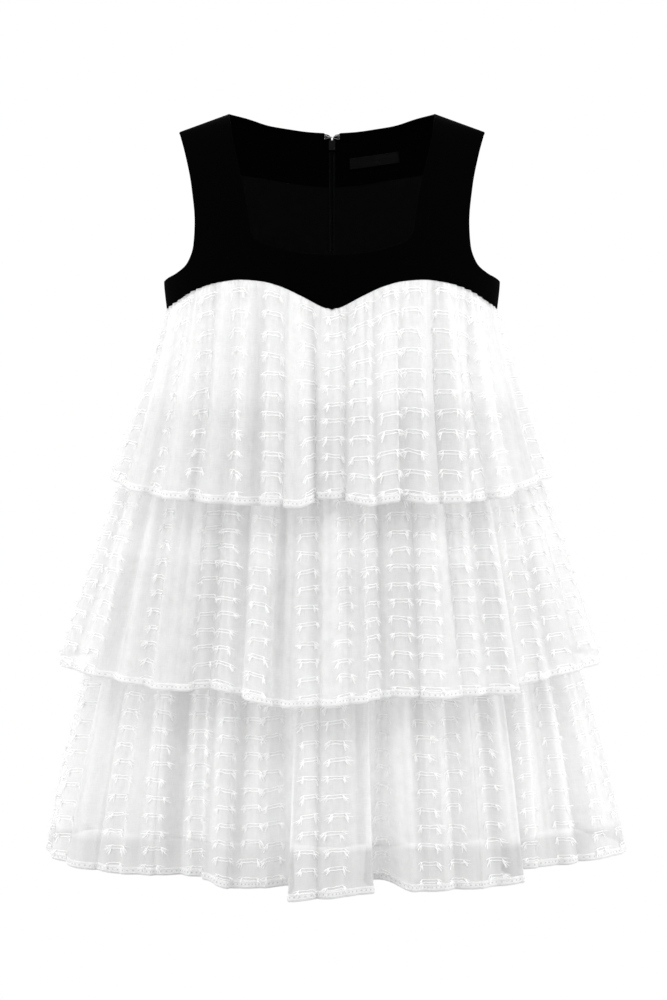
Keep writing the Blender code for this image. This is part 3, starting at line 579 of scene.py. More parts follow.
for hand, shape in (("right", lambda line: line), ("left", flip)):
    drawn = [(shape(line), closed) for line, closed in (
        (facing_hem, False), (lining_top, False), (zip_side, False), (label_line, True)
    )]
    layout = lay_out(BACK, shape(back_outline), drawn)
    layers = (
        (f"back_panel_{hand}", f"bodice_back_{hand}", 0.0, CREPE, crepe, "black_crepe", None),
        (f"back_facing_cloth_{hand}", f"back_facing_{hand}", CREPE + SEAM, FACING,
         facing_cloth, "black_facing",
         lambda p: (abs(p[:, 0]) > ZIP_X) & (p[:, 2] > hem_height(abs(p[:, 0])))),
        (f"back_lining_cloth_{hand}", f"back_lining_{hand}", CREPE + SEAM, FACING,
         satin, "black_satin",
         lambda p: (abs(p[:, 0]) > ZIP_X) & (p[:, 2] < hem_height(abs(p[:, 0])) - SEAM)),
    )
    for name, node, inset, wall, finish, slot, keep in layers:
        piece, area = cut_panel(name, BACK, layout, inset, wall, finish, keep)
        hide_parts(node)
        back_areas[name] = (piece, area)
    if hand == "right":
        label, label_area = cut_panel(
            "neck_label_ribbon", BACK, layout, CREPE + FACING + 2 * SEAM, 0.0008, ribbon,
            lambda p: inside(p[:, [0, 2]], label_line),
        )
        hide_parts("neck_label")
        back_areas["neck_label_ribbon"] = (label, label_area)
print("square metres:", {name: round(area, 4) for name, (_, area) in back_areas.items()})

# %% [markdown]
# ## Turned edges
# Where a facing is sewn to a neckline or an armhole, the seam is turned inside and the edge becomes a
# soft roll. A thin cord along each edge, as thick as the layers it closes, gives that rounded lip.

# %% Roll the edges


def edge_path(side, line, inset):
    turn, run = bodice_place(side, line[:, 0], line[:, 1])
    return bodice_point(side, turn, run) - bodice_normal(side, turn, run) * inset


rolls = []
for shape in (lambda line: line, flip):
    rolls.append((edge_path(FRONT, shape(front_neck), CREPE / 2), 0.00072))
    rolls.append((edge_path(FRONT, shape(armhole), CREPE / 2), 0.00072))
    rolls.append((edge_path(BACK, shape(back_neck), (CREPE + FACING) / 2 + SEAM / 2), 0.00130))
    rolls.append((edge_path(BACK, shape(armhole[:-2]), (CREPE + FACING) / 2 + SEAM / 2), 0.00125))
    rolls.append((edge_path(FRONT, shape(side_seam(BACK_SEAM_Z)), CREPE / 2), 0.00085))
    rolls.append((edge_path(FRONT, shape(shoulder), CREPE / 2), 0.00080))
roll_points, roll_faces, start = [], [], 0
for path, radius in rolls:
    points, faces = tubes([path], radius, 8)
    roll_points.append(points)
    roll_faces += [tuple(i + start for i in f) for f in faces]
    start += len(points)
edge_rolls = make_piece("turned_edges", np.concatenate(roll_points), roll_faces, crepe)
print("turned edges:", len(rolls))

# %% [markdown]
# ## White finishes
# Organza is a thin, open weave of fine stiff threads. Light partly goes straight through its holes and
# partly glows through the threads, so the finish mixes a clear shader with a white one and a translucent
# one. Long noise along the warp and the weft, read from the cutting-table layout, makes the weave a
# little denser here and thinner there. The slip is a smooth opaque white, and the loose yarns are
# bundles of bright soft thread.

# %% Helpers for noise and sums in a finish


def layout_noise(nodes, links, stretch):
    """Noise drawn out along one thread direction of the cloth's flat layout."""
    flat = nodes.new("ShaderNodeUVMap")
    flat.uv_map = "cloth"
    size = nodes.new("ShaderNodeMapping")
    size.inputs["Scale"].default_value = stretch
    noise = nodes.new("ShaderNodeTexNoise")
    noise.inputs["Scale"].default_value = 1.0
    noise.inputs["Detail"].default_value = 4
    links.new(flat.outputs["UV"], size.inputs["Vector"])
    links.new(size.outputs["Vector"], noise.inputs["Vector"])
    return noise.outputs["Fac"]


def node_math(nodes, links, operation, first, second=None):
    """One step of arithmetic in a finish, on numbers or on other nodes' outputs."""
    node = nodes.new("ShaderNodeMath")
    node.operation = operation
    for socket, value in zip(node.inputs, (first, second)):
        if isinstance(value, (int, float)):
            socket.default_value = value
        elif value is not None:
            links.new(value, socket)
    return node.outputs[0]


print("helpers:", layout_noise.__name__, node_math.__name__)

# %% [markdown]
# ## Cloth that light goes through
# Light falls on thin white cloth and also glows through it from behind. The first is an ordinary shader,
# the second a translucent one, and a mix of the two is white cloth. Sheer cloth has gaps between its
# threads as well. A transparent shader lets the background through there, wherever a density is low.

# %% Helpers for cloth that light goes through


def glowing_cloth(name, base, roughness, glow, sheen=0.0):
    """White cloth that also lets light glow through it. Returns the finish and the shader to build on."""
    finish, nodes, links, shader = plain_finish(
        name, base, roughness, Sheen_Weight=sheen, Specular_IOR_Level=0.25
    )
    glow_shader = nodes.new("ShaderNodeBsdfTranslucent")
    glow_shader.inputs["Color"].default_value = (*base, 1)
    mix = nodes.new("ShaderNodeMixShader")
    mix.inputs["Fac"].default_value = glow
    links.new(shader.outputs[0], mix.inputs[1])
    links.new(glow_shader.outputs[0], mix.inputs[2])
    links.new(mix.outputs[0], nodes["Material Output"].inputs["Surface"])
    return finish, nodes, links, mix


def mix_colours(nodes, links, share, first, second):
    """A colour between two, each given as numbers or as another node's output."""
    mix = nodes.new("ShaderNodeMix")
    mix.data_type = "RGBA"
    links.new(share, mix.inputs["Factor"])
    for socket, colour in ((mix.inputs["A"], first), (mix.inputs["B"], second)):
        if isinstance(colour, (tuple, list)):
            socket.default_value = (*colour, 1)
        else:
            links.new(colour, socket)
    return mix.outputs["Result"]


def cover(nodes, links, shader, density):
    """Lets the background through where the density is low."""
    clear = nodes.new("ShaderNodeBsdfTransparent")
    mix = nodes.new("ShaderNodeMixShader")
    links.new(density, mix.inputs["Fac"])
    links.new(clear.outputs[0], mix.inputs[1])
    links.new(shader.outputs[0], mix.inputs[2])
    links.new(mix.outputs[0], nodes["Material Output"].inputs["Surface"])


print("helpers:", glowing_cloth.__name__, mix_colours.__name__, cover.__name__)

# %% [markdown]
# ## Sheer organza
# Organza is a thin, crisp weave. Its density changes with the single threads and with slow clouds, and
# soft grey streaks of painted shade run down it, standing in for the shade of folds and doubled cloth.
# All three are noise in the cloth's flat layout, so they follow the folds. The bottom tier hangs free below
# the slip's hem, and there its colour is painted darker, as painted shade for the shaded hollow inside the
# skirt, because no white slip lies behind it. Its points carry a number that says where, and the finish
# takes a darker colour there.

# %% Organza, plain and with painted shade below the slip's hem
ORGANZA_WHITE, ORGANZA_PAINTED_SHADE = (0.955, 0.955, 0.955), (0.82, 0.82, 0.82)
ORGANZA_THIN, THREAD_SWING, CLOUD_SWING = 0.36, 0.17, 0.36
# painted shade streaks: how many run across a metre, how long they are, and where the noise turns them on
STREAKS_PER_METRE, STREAK_LENGTH_SCALE = 34, 1.6
STREAK_FROM, STREAK_TO = 0.42, 0.62
# painted shade below the slip's hem: the bottom tier's colour is multiplied by this there
OPEN_SHADE = 0.74


def organza_finish(name, open_hem=False):
    """Sheer cloth. With an open hem, its colour is painted with shade where no slip hangs behind it."""
    finish, nodes, links, shader = glowing_cloth(name, ORGANZA_WHITE, 0.55, 0.42)
    threads = node_math(nodes, links, "ADD", layout_noise(nodes, links, (1600, 90, 1)),
                        layout_noise(nodes, links, (90, 1600, 1)))
    clouds = layout_noise(nodes, links, (60, 45, 1))
    density = node_math(nodes, links, "MULTIPLY_ADD", threads, THREAD_SWING)
    density.node.inputs[2].default_value = ORGANZA_THIN
    cloudy = node_math(nodes, links, "MULTIPLY", clouds, CLOUD_SWING)
    density = node_math(nodes, links, "ADD", density, cloudy)
    streaks = nodes.new("ShaderNodeMapRange")
    streaks.inputs["From Min"].default_value = STREAK_FROM
    streaks.inputs["From Max"].default_value = STREAK_TO
    streak_noise = layout_noise(nodes, links, (STREAKS_PER_METRE, STREAK_LENGTH_SCALE, 1))
    links.new(streak_noise, streaks.inputs["Value"])
    # painted shade: the streaks mix a greyer colour into the cloth, standing in for shaded folds and doubled
    # cloth
    shade = mix_colours(nodes, links, streaks.outputs[0], ORGANZA_WHITE, ORGANZA_PAINTED_SHADE)
    # painted shade: below the slip's hem the colour is darkened for the shaded hollow inside the skirt
    if open_hem:
        below = nodes.new("ShaderNodeAttribute")
        below.attribute_name = "painted_shade_below_slip"
        painted_shade_colour = mix_colours(nodes, links, streaks.outputs[0], [OPEN_SHADE * c for c in ORGANZA_WHITE],
                             [OPEN_SHADE * c for c in ORGANZA_PAINTED_SHADE])
        shade = mix_colours(nodes, links, below.outputs["Fac"], shade, painted_shade_colour)
    links.new(shade, nodes["Principled BSDF"].inputs["Base Color"])
    links.new(shade, nodes["Translucent BSDF"].inputs["Color"])
    cover(nodes, links, shader, density)
    return finish


organza = organza_finish("white_organza")
painted_shade_organza = organza_finish("white_organza_painted_shade", open_hem=True)
print("organza:", organza.name, "and", painted_shade_organza.name)

# %% [markdown]
# ## Hem band
# The turned hem is nearly solid, with a row of small openings. They could be cut into the mesh, but there
# are hundreds, each a millimetre across. So the finish opens them: it measures how far a point is from
# the nearest hole's middle, along the band and across it, and thins the cloth there.

# %% Hem band with its row of openings
HOLE_PITCH, HOLE_ROW = 0.0052, 0.0042
HOLE_HALF_LENGTH, HOLE_HALF_HEIGHT = 0.0011, 0.0009
HOLE_DENSITY, BAND_DENSITY = 0.62, 0.93
hem_cloth, nodes, links, shader = glowing_cloth("hem_band", (0.94, 0.94, 0.94), 0.55, 0.40)
flat = nodes.new("ShaderNodeUVMap")
flat.uv_map = "cloth"
split = nodes.new("ShaderNodeSeparateXYZ")
links.new(flat.outputs["UV"], split.inputs[0])
along = node_math(nodes, links, "PINGPONG", split.outputs[0], HOLE_PITCH / 2)
along = node_math(nodes, links, "MULTIPLY", along, 1 / HOLE_HALF_LENGTH)
above = node_math(nodes, links, "SUBTRACT", split.outputs[1], HOLE_ROW)
above = node_math(nodes, links, "MULTIPLY", above, 1 / HOLE_HALF_HEIGHT)
along = node_math(nodes, links, "POWER", node_math(nodes, links, "ABSOLUTE", along), 2.0)
above = node_math(nodes, links, "POWER", node_math(nodes, links, "ABSOLUTE", above), 2.0)
away = node_math(nodes, links, "ADD", along, above)
solid = nodes.new("ShaderNodeMapRange")
solid.inputs["From Min"].default_value = 0.7
solid.inputs["From Max"].default_value = 1.3
solid.inputs["To Min"].default_value = HOLE_DENSITY
solid.inputs["To Max"].default_value = BAND_DENSITY
links.new(away, solid.inputs["Value"])
cover(nodes, links, shader, solid.outputs[0])
print("a hole every", HOLE_PITCH * 1000, "mm,", HOLE_ROW * 1000, "mm above the edge")

# %% [markdown]
# ## Slip and yarn
# The slip is an opaque, slightly grainy lining, so hardly any light comes through it. The clipped yarns
# are loose and fluffy, and light glows through them well.

# %% Slip cloth and yarn
slip_cloth, nodes, links, shader = glowing_cloth("white_slip", (0.95, 0.95, 0.95), 0.5, 0.06, 0.2)
add_grain(slip_cloth, 1200, (1, 1, 1), 0.25, 0.0002)
yarn_thread, *_ = glowing_cloth("white_yarn", (0.97, 0.97, 0.97), 0.5, 0.30)
print("white finishes:", [m.name for m in (organza, hem_cloth, slip_cloth, yarn_thread)])

# %% [markdown]
# ## Slip
# The slip hangs from the inside of the yoke seam in one long flare. It carries the middle and bottom
# tiers, so they are placed from it: its ring at a height is where a tier's gathers are sewn on. Its
# folds are given as a table of how far the cloth stands out across the hem.

# %% Hang the slip
SLIP_HEM_Z, SLIP_HALF_WIDTH = -0.7575, 0.2660
SLIP_DEPTH = {FRONT: 0.1430, BACK: 0.1300}
# across the slip's hem, how far the cloth stands out there
SLIP_FOLDS = (
    (-0.266, 0.000), (-0.252, 0.003), (-0.232, -0.010), (-0.196, -0.002), (-0.184, 0.004),
    (-0.163, -0.012), (-0.128, 0.002), (-0.112, 0.003), (-0.096, -0.010), (-0.070, 0.004),
    (-0.058, 0.002), (-0.040, -0.009), (-0.010, 0.002), (0.012, 0.002), (0.030, -0.010), (0.052, 0.003),
    (0.066, 0.002), (0.082, -0.010), (0.118, 0.003), (0.132, 0.003), (0.152, -0.009), (0.184, 0.004),
    (0.200, 0.003), (0.238, -0.014), (0.256, 0.001), (0.266, 0.000),
)
HALF_NAME = {FRONT: "front", BACK: "back"}


def ring_out(side, turn, half_width, depth):
    """Level directions straight out of an oval ring."""
    outwards = np.broadcast_arrays(depth * np.sin(turn), side * half_width * np.cos(turn), 0.0)
    return unit(np.stack(outwards, -1))


def seam_ring(side, turn, inset):
    """The yoke seam's ring on the bodice's form."""
    z = SEAM_AT[side](abs(GIRTH[-1][1] * np.sin(turn)))
    place = bodice_place(side, GIRTH_AT(z) * np.sin(turn), z)
    return bodice_point(side, *place) - bodice_normal(side, *place) * inset - [0, 0, SEAM + ORGANZA / 2]


def slip_point(side, turn, fall):
    """Outer face of the slip at each turn, from under the yoke seam to its hem."""
    turn, fall = np.asarray(turn, float), np.asarray(fall, float)[..., None]
    depth = SLIP_DEPTH[side]
    top = seam_ring(side, turn, ORGANZA + SEAM)
    hem = np.stack([
        SLIP_HALF_WIDTH * np.sin(turn), side * depth * np.cos(turn), np.full(turn.shape, SLIP_HEM_Z)
    ], -1)
    wave = Curve(SLIP_FOLDS)(SLIP_HALF_WIDTH * np.sin(turn))[..., None] * fall**1.5
    return top + (hem - top) * fall + ring_out(side, turn, SLIP_HALF_WIDTH, depth) * wave


def slip_ring(side, turn, z):
    """The slip's ring at a height, just clear of its outer face."""
    low, high = np.zeros_like(turn), np.ones_like(turn)
    for _ in range(30):
        middle = (low + high) / 2
        above = slip_point(side, turn, middle)[..., 2] > z
        low, high = np.where(above, middle, low), np.where(above, high, middle)
    clear = ring_out(side, turn, SLIP_HALF_WIDTH, SLIP_DEPTH[FRONT]) * (SEAM + ORGANZA)
    return slip_point(side, turn, low) + clear


SLIP_GRID = (70, 181)
slips = {}
for side in (FRONT, BACK):
    turn = np.linspace(-math.pi / 2, math.pi / 2, SLIP_GRID[1])
    sheet = np.stack([slip_point(side, turn, np.full(turn.shape, share))
                      for share in np.linspace(0, 1, SLIP_GRID[0])])
    rows_down = np.linalg.norm(np.diff(sheet, axis=0), axis=-1).mean(1).cumsum()
    hem_run = np.concatenate([[0], np.linalg.norm(np.diff(sheet[-1], axis=0), axis=-1).cumsum()])
    flat = np.stack(np.meshgrid(hem_run, np.concatenate([[0], rows_down])), -1)
    slip = make_piece(f"slip_{HALF_NAME[side]}_cloth", sheet, grid_faces(*SLIP_GRID), slip_cloth,
                      flat)
    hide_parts(f"slip_{HALF_NAME[side]}")
    slips[side] = (slip, sheet, float(hem_run[-1]), float(rows_down[-1]))
hem_points, hem_faces = tubes([slips[FRONT][1][-1], slips[BACK][1][-1]], 0.0007, 6)
slip_roll = make_piece("slip_hem_roll", hem_points, hem_faces, slip_cloth)
print("slip cut per half:", [(round(s[2], 3), round(s[3], 3)) for s in slips.values()])

# %% [markdown]
# ## Tiers: how gathered cloth hangs
# A tier is a straight strip, far longer than the seam it is gathered into. Just under the seam the spare
# cloth stands in tiny puckers. They run together into fewer folds on the way down, and the hem swings in
# large soft folds of its own. Each of these is one layer of waves here, and the large ones are given one
# by one where the dress shows them: a table of how far the cloth stands out across each hem, and a table
# of sharp creases. Where a fold lies over its neighbour, the cloth is also pushed sideways until it
# passes under.

# %% Measurements of the tiers
RING_FLATNESS = 0.62
HANG = 0.24
GATHER_BELLY, GATHER_HEM = 0.0050, 0.0034
# heights of the seam and the hem, rise of the hem at the sides, the hem oval's half width and depths, how
# the fall bows out, columns of the grid and gathers in each half, and how much a fold drops its hem
TIERS = {
    "tier_top": dict(
        seam=None, hem=-0.400, rise=0.019, half=0.2390, front=0.1600, back=0.1400,
        bow_side=-0.03, bow_front=0.02, columns=60, gathers=15, fold_drop=0.45,
    ),
    "tier_middle": dict(
        seam=-0.300, hem=-0.597, rise=0.016, half=0.2930, front=0.1900, back=0.1680,
        bow_side=0.03, bow_front=-0.10, columns=68, gathers=17, fold_drop=0.40,
    ),
    "tier_bottom": dict(
        seam=-0.467, hem=-0.788, rise=0.0, half=0.3140, front=0.2070, back=0.1850,
        bow_side=0.10, bow_front=-0.03, columns=76, gathers=18, fold_drop=0.19,
    ),
}
for name, tier in TIERS.items():
    oval = 2 * tier["half"], tier["front"] + tier["back"]
    print(name, "hem oval in mm:", [round(1000 * size) for size in oval])

# %% [markdown]
# ## Tiers: the large folds
# Each hem swings out and in. On the photo, a place where it stands out hangs a little lower and catches
# more light. So the folds were read off the front hems one by one. The back's are made up in the same
# way.

# %% Table of the large folds
# across the hem, how far the cloth stands out there
FOLDS = {
    ("tier_top", FRONT): (
        (-0.240, 0.000), (-0.211, 0.003), (-0.180, 0.004), (-0.142, 0.002), (-0.095, 0.002),
        (-0.060, 0.002), (-0.036, 0.006), (-0.014, -0.012), (0.007, -0.012), (0.039, 0.002),
        (0.070, -0.007), (0.100, 0.001), (0.133, 0.003), (0.176, 0.004), (0.218, -0.004), (0.240, -0.001),
    ),
    ("tier_top", BACK): (
        (-0.240, 0.000), (-0.205, -0.004), (-0.160, 0.004), (-0.118, -0.007), (-0.080, 0.004),
        (-0.040, 0.003), (-0.018, -0.010), (0.020, -0.009), (0.050, 0.006), (0.092, 0.002),
        (0.120, -0.008), (0.165, 0.005), (0.208, -0.003), (0.240, -0.001),
    ),
    ("tier_middle", FRONT): (
        (-0.293, 0.003), (-0.233, -0.006), (-0.173, -0.004), (-0.122, -0.013), (-0.094, -0.002),
        (-0.045, 0.016), (-0.002, 0.012), (0.040, 0.003), (0.066, -0.003), (0.111, 0.002), (0.150, 0.002),
        (0.186, 0.006), (0.194, -0.006), (0.239, -0.009), (0.293, -0.002),
    ),
    ("tier_middle", BACK): (
        (-0.293, 0.003), (-0.240, -0.004), (-0.190, 0.006), (-0.150, -0.009), (-0.110, 0.004),
        (-0.060, 0.010), (-0.030, -0.010), (0.010, -0.012), (0.045, 0.012), (0.095, 0.008),
        (0.120, -0.008), (0.170, -0.004), (0.215, 0.006), (0.255, -0.006), (0.293, -0.002),
    ),
    ("tier_bottom", FRONT): (
        (-0.314, -0.004), (-0.266, 0.000), (-0.232, -0.002), (-0.194, -0.009), (-0.146, -0.016),
        (-0.100, 0.010), (-0.062, 0.002), (-0.046, -0.004), (-0.034, 0.036), (-0.015, 0.031),
        (0.012, 0.024), (0.034, 0.016), (0.044, -0.020), (0.058, -0.016), (0.083, 0.016), (0.132, 0.017),
        (0.186, 0.010), (0.198, -0.024), (0.250, -0.015), (0.284, -0.012), (0.314, 0.006),
    ),
    ("tier_bottom", BACK): (
        (-0.314, -0.004), (-0.262, 0.006), (-0.215, -0.012), (-0.165, 0.014), (-0.120, 0.010),
        (-0.098, -0.018), (-0.060, -0.010), (-0.030, 0.022), (0.025, 0.018), (0.048, -0.020),
        (0.085, -0.010), (0.120, 0.018), (0.170, 0.006), (0.205, -0.014), (0.260, 0.004), (0.314, 0.006),
    ),
}
print("large folds:", {f"{name}_{HALF_NAME[side]}": len(rows) for (name, side), rows in FOLDS.items()})

# %% [markdown]
# ## Tiers: the sharp creases
# Crisp organza also breaks into narrow valleys, and some of these lap over to one side like a flat
# pleat. They are what gives each tier its fine vertical lines of shade. The back takes the front's
# creases, mirrored.

# %% Table of the creases
# across the hem: depth of the crease, half its width, and the side that laps over, -1 left, 1 right or 0
CREASES = {
    ("tier_top", FRONT): (
        (-0.195, 0.0030, 0.0070, -1), (-0.176, 0.0025, 0.0050, 0), (-0.147, 0.0045, 0.0075, -1),
        (-0.130, 0.0025, 0.0040, 0), (-0.100, 0.0050, 0.0075, 1), (-0.074, 0.0040, 0.0050, 0),
        (-0.051, 0.0045, 0.0070, -1), (-0.018, 0.0050, 0.0080, 1), (0.014, 0.0050, 0.0075, -1),
        (0.048, 0.0035, 0.0045, 0), (0.072, 0.0050, 0.0080, -1), (0.098, -0.0020, 0.0050, 0),
        (0.113, 0.0050, 0.0075, 1), (0.145, 0.0030, 0.0045, 0), (0.165, 0.0040, 0.0070, 1),
        (0.195, 0.0035, 0.0060, 0),
    ),
    ("tier_middle", FRONT): (
        (-0.230, 0.0045, 0.0080, -1), (-0.190, 0.0045, 0.0080, 1), (-0.148, 0.0055, 0.0080, -1),
        (-0.120, -0.0020, 0.0060, 0), (-0.093, 0.0055, 0.0085, 1), (-0.060, 0.0045, 0.0075, -1),
        (-0.034, 0.0045, 0.0050, 0), (-0.010, 0.0045, 0.0075, 1), (0.036, 0.0050, 0.0080, -1),
        (0.0625, 0.0045, 0.0050, 0), (0.092, 0.0050, 0.0080, 1), (0.137, 0.0060, 0.0085, -1),
        (0.160, 0.0040, 0.0050, 0), (0.222, 0.0050, 0.0080, 1), (0.250, 0.0030, 0.0060, 0),
    ),
    ("tier_bottom", FRONT): (
        (-0.252, 0.0050, 0.0080, -1), (-0.222, 0.0040, 0.0075, 1), (-0.190, 0.0060, 0.0090, -1),
        (-0.165, 0.0040, 0.0060, 0), (-0.138, 0.0055, 0.0085, 1), (-0.104, 0.0050, 0.0085, -1),
        (-0.074, 0.0045, 0.0060, 0), (-0.014, 0.0045, 0.0080, 1), (0.012, 0.0030, 0.0050, 0),
        (0.097, 0.0050, 0.0085, -1), (0.123, 0.0045, 0.0060, 0), (0.148, 0.0055, 0.0085, 1),
        (0.226, 0.0050, 0.0080, -1), (0.250, 0.0050, 0.0070, 0), (0.275, 0.0040, 0.0070, 1),
    ),
}
for name in TIERS:
    mirrored = [(0.004 - x, deep, wide, -lap) for x, deep, wide, lap in CREASES[name, FRONT]]
    CREASES[name, BACK] = tuple(mirrored)
print("creases in each half:", {name: len(CREASES[name, FRONT]) for name in TIERS})

# %% [markdown]
# ## Tiers: folds that lie over
# Some large folds of the two lower tiers lie over their neighbour. A cloth that is only pushed outwards
# can't do that, so it is pushed sideways as well: one way on the ridge and the other way just beyond it.

# %% Table of the folds that lie over
# across the hem, how far the cloth is pushed sideways there to lie over its neighbour
OVERLAPS = {
    ("tier_middle", FRONT): ((-0.3, 0), (0.160, 0), (0.186, 0.006), (0.194, -0.007), (0.218, 0), (0.3, 0)),
    ("tier_bottom", FRONT): (
        (-0.33, 0), (-0.066, 0), (-0.046, 0.006), (-0.034, -0.007), (-0.012, 0), (0.018, 0),
        (0.034, 0.007), (0.044, -0.009), (0.066, 0), (0.160, 0), (0.186, 0.008), (0.198, -0.011),
        (0.224, 0), (0.33, 0),
    ),
    ("tier_bottom", BACK): (
        (-0.33, 0), (-0.145, 0), (-0.120, 0.007), (-0.098, -0.008), (-0.075, 0), (0.002, 0),
        (0.025, 0.007), (0.048, -0.008), (0.072, 0), (0.33, 0),
    ),
}
print("folds that lie over:", sum(sum(push > 0 for _, push in rows) for rows in OVERLAPS.values()))

# %% [markdown]
# ## Tiers: the cloth itself
# All waves are worked out at once on a grid: across the strip from side seam to side seam, and down it
# from the seam to the hem. The puckers only push outwards, because the slip lies right behind them. A
# wave made from the root of a squared cosine has broad ridges and narrow valleys, which is how light
# gathered cloth really folds.

# %% Helpers for hanging a tier


def even_turns(steps=90):
    """Turn round an oval from its centre line at each share of the way to its side."""
    turn = math.pi / 2 * (np.arange(steps) + 0.5) / steps
    run = np.concatenate([[0], np.cumsum(np.hypot(np.cos(turn), RING_FLATNESS * np.sin(turn)))])
    return Curve(np.stack([run / run[-1], math.pi / 2 * np.arange(steps + 1) / steps], 1).tolist())


TURN_AT = even_turns()


def gather_fold(angle):
    """Broad ridges and narrow valleys, from about -1 to 0.8."""
    return 2.1 * np.sqrt(np.cos(angle / 2) ** 2 + 0.02) - 1.32


print("a gather goes from", round(gather_fold(math.pi), 2), "to", round(gather_fold(0.0), 2))

# %% [markdown]
# ## Tiers: one half, all at once
# The straight fall from the seam to the hem comes first, with its slight bow. Then the layers are added
# up: the gathers, two smaller waves, the fine puckers that fade out a few centimetres below the seam, the
# creases and the large folds. All of them push the cloth straight out from the oval. Laps push it
# sideways.

# %% Hang half a tier
LAP, LAP_STEP = 0.55, 0.55
FINE_DEPTH, FINE_REACH = 0.0014, 0.045
PUCKER_DEPTH, PUCKER_REACH = 0.0013, 0.020


def hang_tier(name, side, rows=56, finer=7):
    """Points of one half of a tier, row by row from its seam to its hem."""
    tier = TIERS[name]
    across = np.linspace(-1, 1, tier["columns"] * finer + 1)
    fall = np.linspace(0, 1, rows + 1)[:, None]
    top_turn = np.sign(across) * TURN_AT(abs(across))
    settled = across * (1 - HANG + HANG * across**2)
    hem_turn = np.sign(across) * TURN_AT(abs(settled))
    turn = top_turn + (hem_turn - top_turn) * fall
    depth, half = tier[HALF_NAME[side]], tier["half"]
    if tier["seam"] is None:
        top = seam_ring(side, top_turn, 0.0)
    else:
        top = slip_ring(side, top_turn, tier["seam"])
    hem_x = half * np.sin(hem_turn)
    fold = Curve(FOLDS[name, side])(hem_x)
    hem_z = tier["hem"] + tier["rise"] * np.sin(hem_turn) ** 4 - tier["fold_drop"] * fold
    hem_y = side * depth * np.cos(hem_turn)
    bow = np.sin(math.pi * fall)
    point = np.stack([
        top[:, 0] + (hem_x - top[:, 0]) * (fall + tier["bow_side"] * bow),
        top[:, 1] + (hem_y - top[:, 1]) * (fall + tier["bow_front"] * bow),
        top[:, 2] + (hem_z - top[:, 2]) * fall,
    ], -1)
    length = float(np.linalg.norm(point[-1, len(across) // 2] - point[0, len(across) // 2]))
    down = fall * length
    fade = 1 - abs(across) ** 12
    shift = 1.3 * side + tier["gathers"]
    uneven = 0.9 * np.sin(4.5 * across + shift) + 0.5 * np.sin(11 * across - 2 * shift)
    gather = gather_fold(tier["gathers"] * math.pi * across + uneven)
    belly = GATHER_BELLY * bow + GATHER_HEM * fall**2
    turns = tier["gathers"] * math.pi * across
    small = gather_fold(1.53 * turns + 1.7 * np.sin(7 * across + 2 * shift))
    small = small * (0.0012 * bow + 0.0012 * fall**2)
    finer_fold = gather_fold(2.37 * turns + 1.9 * np.sin(5 * across - shift)) * (0.0008 * bow + 0.0003)
    fine = 1 + gather_fold(3.1 * turns + 2.3 * np.sin(9 * across - shift))
    fine = fine * FINE_DEPTH * np.exp(-down / FINE_REACH)
    pucker = 1 + gather_fold(4.1 * turns + 2.9 * np.sin(13 * across + shift))
    pucker = pucker * PUCKER_DEPTH * np.exp(-down / PUCKER_REACH)
    crease, lapped = np.zeros_like(hem_x), np.zeros_like(hem_x)
    for x, deep, wide, lap in CREASES[name, side]:
        off = (hem_x - x) / wide
        if lap:
            step = lap * LAP_STEP * deep * np.tanh(1.6 * off) * np.exp(-((off / 2.2) ** 2))
            crease += step - 0.4 * deep * np.exp(-(off**2))
            lapped -= LAP * wide * off * np.exp(0.5 - off**2)
        else:
            crease -= deep * np.exp(-(off**2))
    settle = np.clip(down / 0.045, 0, 1) ** 1.5
    waves = (gather * belly + (small + finer_fold) * settle + crease * settle * (0.55 + 0.45 * fall)) * fade
    out = fold * fall**1.3 + waves + (fine + pucker) * fade
    outwards = ring_out(side, turn, half, depth)
    point += outwards * out[..., None]
    aside = lapped * settle * fade * (0.4 + 0.6 * fall)
    if (name, side) in OVERLAPS:
        aside = aside + Curve(OVERLAPS[name, side])(hem_x) * fall**1.4
    sideways = np.stack([side * outwards[..., 1], -side * outwards[..., 0], np.zeros_like(turn)], -1)
    point += sideways * aside[..., None]
    return point, across, fall[:, 0], length


print("fine puckers fade over", round(1000 * FINE_REACH), "mm")

# %% [markdown]
# ## Tiers: all six halves
# Each half becomes a piece of cloth with its own flat layout, so that weave and yarns follow it. The
# bottom tier's points also get the number that tells its finish how much painted shade to take: none of it
# in front of the slip, all of it below the slip's hem, and less towards the side seams, where front and
# back come together.

# %% Hang the tiers
# where the bottom tier's painted shade begins, how soft its edge is, and how much it fades towards the side
# seams
OPEN_MIDDLE_RISE, OPEN_EDGE = 0.0105, 0.004
SIDE_SHARE, SIDE_FROM, SIDE_WIDTH = 0.6, 0.255, 0.059


def skin_normals(sheet, side):
    """Directions out of a hung sheet."""
    normal = unit(np.cross(np.gradient(sheet, axis=1), np.gradient(sheet, axis=0)))
    middle = np.sign(normal[:, sheet.shape[1] // 2, 1].mean()) * side
    return normal * middle


def painted_shade_share(sheet):
    """How much painted shade each point of the bottom tier takes, by how far it hangs below the slip's hem:
    0 above it, 1 below it.
    """
    x = sheet[..., 0]
    ends = SLIP_HEM_Z + OPEN_MIDDLE_RISE * (1 - (x / TIERS["tier_bottom"]["half"]) ** 2)
    share = np.clip((ends - sheet[..., 2]) / OPEN_EDGE + 0.5, 0, 1)
    return share * (1 - SIDE_SHARE * np.clip((abs(x) - SIDE_FROM) / SIDE_WIDTH, 0, 1))


